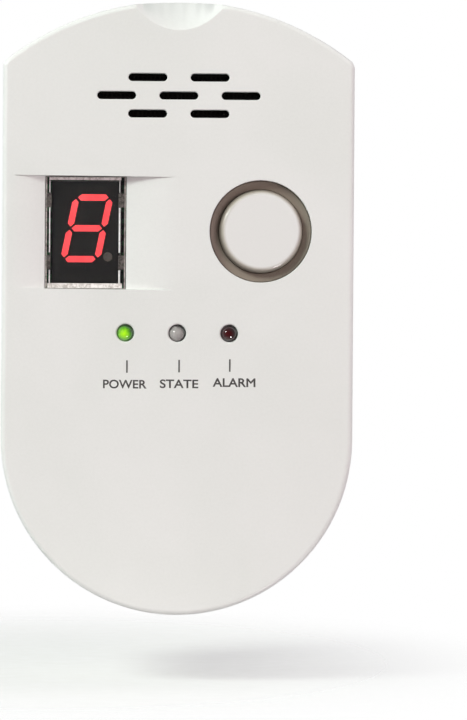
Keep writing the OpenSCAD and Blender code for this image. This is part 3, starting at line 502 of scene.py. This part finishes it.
DARK = ["#000000"] * 4
FINISHES["led_green"] = lamp_epoxy("lit_green_epoxy_painted_rim_shade", "led_green",
    ["#7fbf14", "#67ab14", "#3a7410", "#163806"], ["#b8ea20", "#96d41a", "#4f9410", "#143404"], 0.62, {})
FINISHES["led_clear"] = lamp_epoxy("water_clear_epoxy_painted_rim_shade", "led_clear",
    ["#cdc9c7", "#c2bebc", "#b0acaa", "#3c3a39"], DARK, 0.0, {"Transmission Weight": 0.25})
FINISHES["led_red"] = lamp_epoxy("unlit_red_epoxy_painted_rim_shade", "led_red",
    ["#4a060b", "#3c0509", "#2a0407", "#160203"], DARK, 0.0, {})
print("lamps", list(LAMPS))

# %% [markdown]
# ## Inside the case
# The boards are glass epoxy under a green solder mask. Copper tracks lie under the mask and lift it a little,
# so they show as paler green lines. A brick pattern with wide, flat bricks gives such runs of parallel
# lines, and a fine noise gives the weave of the glass below. Ferrite is pressed powder: dark, dry and
# speckled. Tape on the transformer is glossy polyester with a line at each turn.

# %% Board, ferrite, tape
def solder_mask():
    made, tree, shader, place = finish("green_solder_mask", {"IOR": 1.5, "Coat Weight": 0.4,
        "Coat Roughness": 0.08})
    flat = add(tree, "Mapping", {"Rotation": (radians(90), 0, 0)}, {"Vector": place})
    tracks = add(tree, "TexBrick", {"Scale": per(5), "Mortar Size": 0.09, "Mortar Smooth": 0.1,
        "Brick Width": 1.7, "Row Height": 0.42, "offset": 0.35, "squash": 0.6,
        "Color1": colour("#0f5a2b"), "Color2": colour("#0d5027"), "Mortar": colour("#2b7f45")},
        {"Vector": flat})
    weave = add(tree, "TexNoise", {"Scale": per(0.6), "Detail": 3.0}, {"Vector": place})
    cover = add(tree, "MapRange", {"To Min": 0.85, "To Max": 1.05}, {"Value": weave})
    shade = add(tree, "VectorMath", {"operation": "SCALE"}, {0: tracks.outputs["Color"], "Scale": cover})
    tree.links.new(shade.outputs["Vector"], shader.inputs["Base Color"])
    roughen(tree, shader, weave, 0.22, 0.36)
    emboss(tree, shader, tracks.outputs["Fac"], 0.035, 0.8)
    return made


def pressed_ferrite():
    made, tree, shader, place = finish("sintered_ferrite", {"IOR": 2.0})
    grains = add(tree, "TexVoronoi", {"Scale": per(0.35)}, {"Vector": place})
    tone = add(tree, "ValToRGB", {"stops": [(0.0, "#2a2a2d"), (0.6, "#3d3d41")]},
        {"Fac": grains.outputs["Distance"]})
    tree.links.new(tone.outputs["Color"], shader.inputs["Base Color"])
    roughen(tree, shader, grains.outputs["Distance"], 0.55, 0.8)
    emboss(tree, shader, grains.outputs["Distance"], 0.02, 0.6)
    return made


def wound_tape():
    made, tree, shader, place = finish("yellow_polyester_tape", {"IOR": 1.64, "Coat Weight": 0.6,
        "Coat Roughness": 0.06})
    turns = add(tree, "TexWave", {"Scale": per(14), "bands_direction": "Y", "Distortion": 0.8,
        "Detail": 2.0}, {"Vector": place})
    tone = add(tree, "ValToRGB", {"stops": [(0.1, "#c99a1a"), (0.5, "#e8bd2c")]}, {"Fac": turns})
    tree.links.new(tone.outputs["Color"], shader.inputs["Base Color"])
    roughen(tree, shader, turns, 0.18, 0.34)
    emboss(tree, shader, turns, 0.05, 0.5)
    return made


FINISHES["board_green"] = solder_mask()
FINISHES["ferrite"] = pressed_ferrite()
FINISHES["yellow_tape"] = wound_tape()
print("finishes so far", len(FINISHES))

# %% [markdown]
# The leads are copper wire in soft PVC, brown for live and blue for neutral. Drawing the PVC over the wire
# leaves long, shallow ripples. The fuse, varistor and capacitors each have a skin of their own: moulded,
# dipped and shrunk. They are coatings, so a gloss coat over a coloured body gives the right depth.

# %% Leads and component skins
def drawn_pvc(name, light, dark):
    made, tree, shader, place = finish(name, {"IOR": 1.53, "Subsurface Weight": 0.05,
        "Subsurface Scale": mm(0.4)})
    ripple = add(tree, "TexNoise", {"Scale": per(1.2), "Detail": 3.0}, {"Vector": place})
    tone = add(tree, "ValToRGB", {"stops": [(0.3, dark), (0.7, light)]}, {"Fac": ripple})
    tree.links.new(tone.outputs["Color"], shader.inputs["Base Color"])
    roughen(tree, shader, ripple, 0.34, 0.5)
    emboss(tree, shader, ripple, 0.03, 0.5)
    return made


def coated(name, light, dark, dimple, depth, gloss):
    made, tree, shader, place = finish(name, {"IOR": 1.5, "Coat Weight": 0.7, "Coat Roughness": 0.1})
    skin = add(tree, "TexNoise", {"Scale": per(dimple), "Detail": 2.0}, {"Vector": place})
    tone = add(tree, "ValToRGB", {"stops": [(0.3, dark), (0.7, light)]}, {"Fac": skin})
    tree.links.new(tone.outputs["Color"], shader.inputs["Base Color"])
    roughen(tree, shader, skin, *gloss)
    emboss(tree, shader, skin, depth, 0.6)
    return made


FINISHES["brown_lead"] = drawn_pvc("brown_pvc", "#6a3d20", "#55301a")
FINISHES["blue_lead"] = drawn_pvc("blue_pvc", "#2c66b4", "#235597")
FINISHES["fuse_brown"] = coated("brown_fuse_moulding", "#5c2f20", "#4a2418", 0.8, 0.02, (0.35, 0.5))
FINISHES["varistor_blue"] = coated("dipped_blue_epoxy", "#2459a8", "#1c4b92", 1.4, 0.06, (0.2, 0.34))
FINISHES["capacitor_sleeve"] = coated("shrunk_pvc_sleeve", "#1c2644", "#151d36", 2.2, 0.03, (0.2, 0.32))
print("component skins", 5)

# %% [markdown]
# Behind the slots lies a dust mesh, woven from black polyester thread. Two wave textures at right angles
# make the weave: one for the threads across and one for the threads up. A wave texture repeats 20 times in
# two pi at a scale of 1, so its scale has a factor of its own. The real thread spacing is 0.2 mm, and it is
# drawn at 0.8 mm so that it can be seen. The blank label on the back is satin polyester film, with the faint
# waviness of its glue under it.

# %% Dust mesh and label film
THREAD = 0.8
BAND = tau / 20


def woven_mesh():
    made, tree, shader, place = finish("woven_black_polyester", {"Specular IOR Level": 0.1})
    thread = per(THREAD) * BAND
    across = add(tree, "TexWave", {"Scale": thread, "bands_direction": "X"}, {"Vector": place})
    up = add(tree, "TexWave", {"Scale": thread, "bands_direction": "Z"}, {"Vector": place})
    cloth = add(tree, "Math", {"operation": "MAXIMUM"},
        {0: across.outputs["Fac"], 1: up.outputs["Fac"]})
    tone = add(tree, "ValToRGB", {"stops": [(0.3, "#010101"), (1.0, "#0b0907")]}, {"Fac": cloth})
    tree.links.new(tone.outputs["Color"], shader.inputs["Base Color"])
    roughen(tree, shader, cloth, 0.9, 0.7)
    emboss(tree, shader, cloth, 0.08, 0.8)
    return made


def label_film():
    made, tree, shader, place = finish("satin_polyester_film", {"IOR": 1.6, "Coat Weight": 0.25,
        "Coat Roughness": 0.2})
    glue = add(tree, "TexNoise", {"Scale": per(3), "Detail": 3.0}, {"Vector": place})
    tone = add(tree, "ValToRGB", {"stops": [(0.3, "#d3d4d3"), (0.7, "#dcdddc")]}, {"Fac": glue})
    tree.links.new(tone.outputs["Color"], shader.inputs["Base Color"])
    roughen(tree, shader, glue, 0.3, 0.45)
    emboss(tree, shader, glue, 0.02, 0.4)
    return made


FINISHES["black_mesh"] = woven_mesh()
FINISHES["label_paper"] = label_film()
print("all finishes", len(FINISHES))

# %% [markdown]
# The markings are pad-printed: a soft pad lays down a film of dark grey ink a few hundredths of a
# millimetre thick. The film is slightly thin in places, which a small noise shows.

# %% Printing ink
def pad_ink():
    made, tree, shader, place = finish("dark_grey_pad_ink", {"IOR": 1.5})
    film = add(tree, "TexNoise", {"Scale": per(0.5), "Detail": 3.0}, {"Vector": place})
    tone = add(tree, "ValToRGB", {"stops": [(0.3, "#3e3c3c"), (0.75, "#565352")]}, {"Fac": film})
    tree.links.new(tone.outputs["Color"], shader.inputs["Base Color"])
    roughen(tree, shader, film, 0.4, 0.6)
    return made


INK = pad_ink()
print("ink", INK.name)

# %% [markdown]
# ## From a shape to a piece
# Every new piece goes through the same last step. Its mesh becomes an object at the origin, it rides on the
# body that carries it, and it is told which finish it has. Faces are shaded smooth up to an angle, and a
# weighted-normal modifier keeps flat faces flat right up to their rounded edges.

# %% Finishing a piece
SMOOTH_ANGLE = radians(38)


def body_with(node):
    return frame["nodes"][node]["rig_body"]


def piece(name, shape, slot, body, stands_for=()):
    mesh = bpy.data.meshes.new(name)
    shape.to_mesh(mesh)
    shape.free()
    mesh.shade_smooth()
    mesh.set_sharp_from_angle(angle=SMOOTH_ANGLE)
    mesh.materials.clear()
    mesh.materials.append(FINISHES[slot])
    made = bpy.data.objects.new(name, mesh)
    scene.collection.objects.link(made)
    weigh = made.modifiers.new("flat_faces", "WEIGHTED_NORMAL")
    weigh.keep_sharp = True
    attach(made, body)
    if stands_for:
        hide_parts(*stands_for)
    return made


print("smooth up to", round(SMOOTH_ANGLE, 2), "rad")

# %% [markdown]
# ## Softened mouldings
# A mould has no knife edges, and a moulded edge catches a thin line of light. That line is what makes a
# render look real. The frame's meshes are loose triangles with sharp edges, so a copy is taken, its doubled
# corners are merged and its flat faces are joined. Then every edge that turns by more than 60 degrees is
# rounded with a small bevel, and so is an edge on the flat front that turns by more than 35 degrees, such as
# the thumb scoop's. The original stays hidden in its place.

# %% Softening a copy of a part
MERGE_GAP = mm(0.03)
FLAT_TURN = radians(0.2)
CRISP_TURN = 60
CRISP_ON_FRONT = 35


def merged_copy(node):
    shape = bmesh.new()
    shape.from_mesh(frame["nodes"][node].data)
    bmesh.ops.remove_doubles(shape, verts=shape.verts, dist=MERGE_GAP)
    bmesh.ops.dissolve_limit(shape, angle_limit=FLAT_TURN, verts=shape.verts, edges=shape.edges)
    return shape


def is_crisp(edge):
    """Turns by more than CRISP_TURN, or on the flat front by more than CRISP_ON_FRONT, in degrees."""
    if not edge.is_manifold:
        return False
    on_front = min(face.normal.y for face in edge.link_faces) < -0.99
    return edge.calc_face_angle(0) > radians(CRISP_ON_FRONT if on_front else CRISP_TURN)


def softened(node, slot, radius, name=None, steps=3):
    shape = merged_copy(node)
    crisp = [e for e in shape.edges if is_crisp(e)]
    bmesh.ops.bevel(shape, geom=crisp, offset=mm(radius), offset_type="OFFSET", segments=steps,
        profile=0.5, affect="EDGES", material=-1, clamp_overlap=False)
    made = piece(name or node + "_soft", shape, slot, body_with(node), [node])
    print(made.name, "rounded edges", len(crisp), "faces", len(made.data.polygons))
    return made


softened("front_cover", "white_plastic", 0.12, "cover_moulding")
softened("rear_housing", "white_plastic", 0.15, "housing_moulding")
softened("plug_insert", "white_plastic", 0.2, "plug_moulding")

# %% [markdown]
# ## Turned pieces
# The button, its ring and the lamps are round. A round piece is drawn as half of its section, a chain of
# (radius, depth) corners, and spun about its axis. Arcs in the section come from a small formula. A section
# that starts and ends on the axis closes into a solid, and one that stays clear of it closes on itself.

# %% Spinning a section
def arc(radius, depth, size, start, stop, steps=8):
    """Corners on an arc about (radius, depth). Angles are in degrees, 0 outwards and 90 to the back."""
    turns = [radians(start + (stop - start) * i / steps) for i in range(steps + 1)]
    return [(radius + size * cos(t), depth + size * sin(t)) for t in turns]


def spun(name, slot, centre, section, body, stands_for=(), closed=False, steps=72):
    """section is in mm: (radius, depth behind the front face)."""
    shape = bmesh.new()
    corners = [shape.verts.new((centre.x + mm(r), FACE + mm(d), centre.z)) for r, d in section]
    pairs = list(zip(corners, corners[1:] + corners[:1] if closed else corners[1:]))
    rims = [shape.edges.new(pair) for pair in pairs]
    bmesh.ops.spin(shape, geom=corners + rims, cent=(centre.x, 0, centre.z), axis=(0, 1, 0), angle=tau,
        steps=steps, use_merge=True)
    bmesh.ops.remove_doubles(shape, verts=shape.verts, dist=mm(0.001))
    bmesh.ops.recalc_face_normals(shape, faces=shape.faces)
    return piece(name, shape, slot, body, stands_for)


print("quarter arc", len(arc(0, 0, 1, 0, 90)), "corners")

# %% [markdown]
# ## Test button
# The button is a cap with a generous round edge, a thin skirt, and a flange that keeps it from falling out.
# A stem behind the cap presses the switch. Its flat top ends early and falls away in a soft shoulder, which
# is painted with a gradual shade that stands in for the dark ring's reflection. The ring's face slopes
# inwards a little, like a shallow funnel.
# All lengths in a section are plain numbers in mm.

# %% Button and ring
BUTTON = middle("test_button")
BUTTON_R = 7.7
FLANGE_R = 1000 * (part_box("test_button")[1].x - BUTTON.x)
BUTTON_BACK = 1000 * (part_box("test_button")[1].y - FACE)
SHOULDER = 1.0
SHOULDER_DEPTH = 1.3
CAP = 1.8
SKIRT = 1.3
STEM_R = 1.7


def shoulder_line(steps=12):
    """A rounded shoulder: a quarter of an ellipse, from the flat top to the skirt."""
    turns = [radians(90 - 90 * i / steps) for i in range(steps + 1)]
    return [(BUTTON_R - SHOULDER + SHOULDER * cos(t), SHOULDER_DEPTH * (1 - sin(t))) for t in turns]


stem_end = 1000 * (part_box("switch_plunger")[0].y - FACE) - 0.05
button_section = [(0, 0)] + shoulder_line() + [
    (BUTTON_R, BUTTON_BACK - 1), (FLANGE_R - 0.15, BUTTON_BACK - 1), (FLANGE_R, BUTTON_BACK - 0.85),
    (FLANGE_R, BUTTON_BACK - 0.15), (FLANGE_R - 0.15, BUTTON_BACK), (BUTTON_R - SKIRT, BUTTON_BACK),
    (BUTTON_R - SKIRT, CAP + 0.3), (BUTTON_R - SKIRT - 0.3, CAP), (STEM_R + 0.3, CAP),
    (STEM_R, CAP + 0.3), (STEM_R, stem_end - 0.2), (STEM_R - 0.2, stem_end), (0, stem_end)]
spun("button_cap", "button_plastic", BUTTON, button_section, "button", ["test_button"])

RING_LOW, RING_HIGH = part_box("button_ring")
RING_FACE = 1000 * (RING_LOW.y - FACE)
RING_BACK = 1000 * (RING_HIGH.y - FACE)
RING_OUT = 1000 * (RING_HIGH.x - RING_LOW.x) / 2
RING_WELL = 9.37
RING_IN = 7.79
WALL = 2.2
FUNNEL = 0.45
ring_section = [(RING_IN, RING_FACE + FUNNEL + 0.1), (RING_IN + 0.1, RING_FACE + FUNNEL),
    (RING_WELL - 0.15, RING_FACE),
    (RING_WELL, RING_FACE + 0.15), (RING_WELL, WALL), (RING_OUT - 0.1, WALL), (RING_OUT, WALL + 0.1),
    (RING_OUT, WALL + 1.1), (RING_OUT - 0.1, WALL + 1.2), (RING_WELL, WALL + 1.2), (RING_WELL, RING_BACK),
    (RING_IN, RING_BACK)]
spun("button_trim_ring", "grey_plastic", BUTTON, ring_section, "case", ["button_ring"], closed=True)
print("button radius", BUTTON_R, "ring", round(RING_OUT, 2))

# %% [markdown]
# ## Lamps
# Each lamp is an epoxy bullet: a dome, a straight body and a collar. Inside it, one lead ends in a small cup
# that holds the chip. The clear lamp is the one that could show it, and all three are made alike.

# %% Lamp bodies and what is inside them
LAMP_LOW = 1000 * (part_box("led_green")[0].y - FACE)
LAMP_BASE = 1000 * (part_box("led_green")[1].y - FACE)
COLLAR_R = 1.9
lamp_section = [(0, LAMP_LOW)] + arc(0, LAMP_LOW + 1.5, 1.5, -90, 0, 14)[1:] + [
    (1.5, LAMP_BASE - 1.05), (1.55, LAMP_BASE - 1), (COLLAR_R - 0.1, LAMP_BASE - 1),
    (COLLAR_R, LAMP_BASE - 0.9), (COLLAR_R, LAMP_BASE - 0.1), (COLLAR_R - 0.1, LAMP_BASE), (0, LAMP_BASE)]
cup_section = [(0, 1.5), (0.35, 1.5), (0.62, 1.05), (0.72, 1.05), (0.5, 1.9), (0.28, 2.6), (0, 2.6)]
for lamp, centre in LAMPS.items():
    spun(lamp + "_bullet", lamp, centre, lamp_section, "case", [lamp], steps=48)
    spun(lamp + "_cup", "tinned_metal", centre, cup_section, "case", steps=32)
print("lamp reach", round(LAMP_LOW, 2), "to", round(LAMP_BASE, 2))

# %% [markdown]
# ## Window
# The window's copy is softened like the case, and its side walls get the frosted finish. A face belongs to a
# side wall when its normal doesn't point along the depth.

# %% Window with frosted walls
WALL_SLANT = 0.7
window = softened("display_window", "clear_plastic", 0.08, "window_moulding", steps=2)
window.data.materials.append(FROSTED)
frosted = 0
for face in window.data.polygons:
    if abs(face.normal.y) < WALL_SLANT:
        face.material_index = 1
        frosted += 1
print("frosted faces", frosted)

# %% [markdown]
# The walls behind the window's front show through its rim, and how they catch light is painted on. Above and
# below, painted light makes an unpolished strip glow pale grey. On both sides a painted highlight draws the
# wall's bright inner corner, broken by the two snap tabs that hold the window, which are painted as dark
# smudges of shade. A painted grey line of shade follows the outer edge. All of it is a film on the rim,
# 0.02 mm thick: four short tables of boxes. Each row gives the middle's place across and up from the window's
# centre, then the width and height, in mm.

# %% Painted light and shade on the window's rim, and their boxes
def painted_rim_film(name, light, dark, grain, gloss):
    made, tree, shader, place = finish(name, {"IOR": 1.5})
    haze = add(tree, "TexNoise", {"Scale": per(grain), "Detail": 4.0, "Distortion": 0.8}, {"Vector": place})
    tone = add(tree, "ValToRGB", {"stops": [(0.35, dark), (0.6, light)]}, {"Fac": haze})
    tree.links.new(tone.outputs["Color"], shader.inputs["Base Color"])
    roughen(tree, shader, haze, *gloss)
    emboss(tree, shader, haze, 0.01, 0.4)
    return made


# Painted light and shade: each film's colour stands in for how the walls behind the front catch light or lie
# in shade.
PAINTED_PALE_WALL_LIGHT = painted_rim_film("painted_light_of_unpolished_wall", "#f4efed", "#c4bcb8", 0.7, (0.4, 0.6))
PAINTED_CORNER_HIGHLIGHT = painted_rim_film("painted_highlight_of_wall_corner", "#fbfbfa", "#dcdad8", 0.9, (0.2, 0.4))
PAINTED_TAB_SHADE = painted_rim_film("painted_shade_of_snap_tab", "#6f6965", "#3a3634", 0.5, (0.3, 0.5))
PAINTED_EDGE_SHADE = painted_rim_film("painted_shade_of_window_edge", "#b9b3ae", "#857e79", 0.9, (0.3, 0.5))
PAINTED_RIM_THICKNESS = mm(0.02)
PAINTED_RIM_BOXES = {
    "painted_rim_light": (PAINTED_PALE_WALL_LIGHT, [(-0.1, 10.05, 13.3, 0.66), (-0.1, -9.87, 13.8, 0.98)]),
    "painted_rim_highlight": (PAINTED_CORNER_HIGHLIGHT, [(-6.66, 8.55, 0.14, 2.3), (-6.66, 0.45, 0.20, 8.3),
        (-6.66, -8.2, 0.18, 2.5), (6.30, 8.55, 0.12, 2.3), (6.28, 0.45, 0.30, 8.3), (6.26, -8.2, 0.30, 2.5)]),
    "painted_rim_shade_tabs": (PAINTED_TAB_SHADE, [(-6.8, 5.96, 0.95, 2.5), (-6.86, -5.5, 0.75, 2.6),
        (6.62, 5.96, 1.15, 2.6), (6.6, -5.5, 1.05, 2.6)]),
    "painted_rim_shade_edge": (PAINTED_EDGE_SHADE, [(-7.27, 0, 0.24, 20.7), (7.27, 0, 0.24, 20.7), (0, 10.33, 14.6, 0.14),
        (0, -10.36, 14.6, 0.14)])}
window_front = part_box("display_window")[0].y
window_middle = middle("display_window")
for name, (film, boxes) in PAINTED_RIM_BOXES.items():
    shape = bmesh.new()
    for x, z, width, height in boxes:
        spot = Matrix.Translation((window_middle.x + mm(x), window_front, window_middle.z + mm(z)))
        bmesh.ops.create_cube(shape, size=1, matrix=spot @ Matrix.Diagonal((mm(width), PAINTED_RIM_THICKNESS,
            mm(height), 1)))
    mesh = bpy.data.meshes.new(name)
    shape.to_mesh(mesh)
    shape.free()
    mesh.materials.append(film)
    made = bpy.data.objects.new(name, mesh)
    scene.collection.objects.link(made)
    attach(made, "case")
print("rim strips", sum(len(boxes) for film, boxes in PAINTED_RIM_BOXES.values()))

# %% [markdown]
# ## Printed markings
# A short line leads from each lamp down to its word. The words are common functional ones, set in a plain
# sans-serif. Type is a curve in Blender, so each word is turned into a mesh while it is still at the origin,
# then scaled to its printed height and width and laid on the face. A small bevel makes the strokes a little
# bolder. The ink stands 0.02 mm proud. Each row of the table has the word, its width, and then how far the
# word and its line sit off their usual places, across and up, in mm.

# %% Lines and words
INK_PROUD = mm(0.02)
WORD_HEIGHT = mm(1.62)
WORD_Z = LAMPS["led_clear"].z - mm(9.4)
LINE_Z = LAMPS["led_clear"].z - mm(6.15)
LINE_W, LINE_H = mm(0.28), mm(2.3)
TYPE_SIDE = 0.004
TYPE_BOLD = 0.02
MARKS = {"led_green": ("POWER", mm(8.05), (-0.02, -0.07), (0.35, -0.07)),
    "led_clear": ("STATE", mm(7.1), (0.40, 0.05), (0.38, 0.08)),
    "led_red": ("ALARM", mm(7.9), (0.95, 0.35), (0.15, 0.26))}


def ink_piece(name, mesh):
    mesh.materials.clear()
    mesh.materials.append(INK)
    made = bpy.data.objects.new(name, mesh)
    scene.collection.objects.link(made)
    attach(made, "case")
    return made


def word_mesh(word, width):
    curve = bpy.data.curves.new(word.lower() + "_type", "FONT")
    curve.body = word
    curve.extrude = TYPE_SIDE
    curve.bevel_depth = TYPE_BOLD
    curve.bevel_resolution = 0
    carrier = bpy.data.objects.new(curve.name, curve)
    scene.collection.objects.link(carrier)
    bpy.context.view_layer.update()
    mesh = bpy.data.meshes.new_from_object(carrier.evaluated_get(bpy.context.evaluated_depsgraph_get()))
    bpy.data.objects.remove(carrier)
    xs = [v.co.x for v in mesh.vertices]
    ys = [v.co.y for v in mesh.vertices]
    centre = Matrix.Translation((-(min(xs) + max(xs)) / 2, -(min(ys) + max(ys)) / 2, 0))
    size = Matrix.Diagonal((width / (max(xs) - min(xs)), WORD_HEIGHT / (max(ys) - min(ys)),
        INK_PROUD / (TYPE_SIDE + TYPE_BOLD), 1))
    mesh.transform(Matrix.Rotation(radians(90), 4, "X") @ size @ centre)
    return mesh


for lamp, (word, width, word_shift, line_shift) in MARKS.items():
    lettering = word_mesh(word, width)
    lettering.transform(Matrix.Translation((LAMPS[lamp].x + mm(word_shift[0]), FACE,
        WORD_Z + mm(word_shift[1]))))
    ink_piece("print_" + word.lower(), lettering)
    shape = bmesh.new()
    spot = Matrix.Translation((LAMPS[lamp].x + mm(line_shift[0]), FACE, LINE_Z + mm(line_shift[1])))
    bmesh.ops.create_cube(shape, size=1, matrix=spot @ Matrix.Diagonal((LINE_W, 2 * INK_PROUD, LINE_H, 1)))
    line = bpy.data.meshes.new("print_line_" + word.lower())
    shape.to_mesh(line)
    shape.free()
    ink_piece(line.name, line)
print("words", [m[0] for m in MARKS.values()])

# %% [markdown]
# ## Softening the small parts
# Small moulded, turned and stamped parts get the same treatment as the case, with radii in mm that suit
# their size. Only parts whose edges lie well apart are chosen, so that a small bevel fits on each edge.

# %% Softened small parts
SMALL_RADII = {"switch_body": 0.1, "microcontroller": 0.06, "sensor_cap": 0.3, "sensor_base": 0.15,
    "buzzer": 0.4, "transformer_core": 0.15, "bridge_rectifier": 0.1, "smoothing_capacitors": 0.5,
    "fuse": 0.3, "voltage_regulator": 0.1, "link_header": 0.08, "switch_plunger": 0.15,
    "plug_pin_left": 0.12, "plug_pin_right": 0.12, "case_screws": 0.12, "plug_screws": 0.1}
slots = {part["node"]: part["material_slot"] for part in frame["record"]["subparts"]}
for node, radius in SMALL_RADII.items():
    softened(node, slots[node], radius, steps=2)

# %% [markdown]
# ## Finishes for the frame's own nodes
# What is left keeps the frame's shape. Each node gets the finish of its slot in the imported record, so the
# table of slots isn't written a second time.

# %% Finishes on the carried-over nodes
kept = [part for part in frame["record"]["subparts"] if not frame["nodes"][part["node"]].hide_render]
for part in kept:
    mesh = frame["nodes"][part["node"]].data
    mesh.materials.clear()
    mesh.materials.append(FINISHES[part["material_slot"]])
print("kept as they are:", [part["node"] for part in kept])
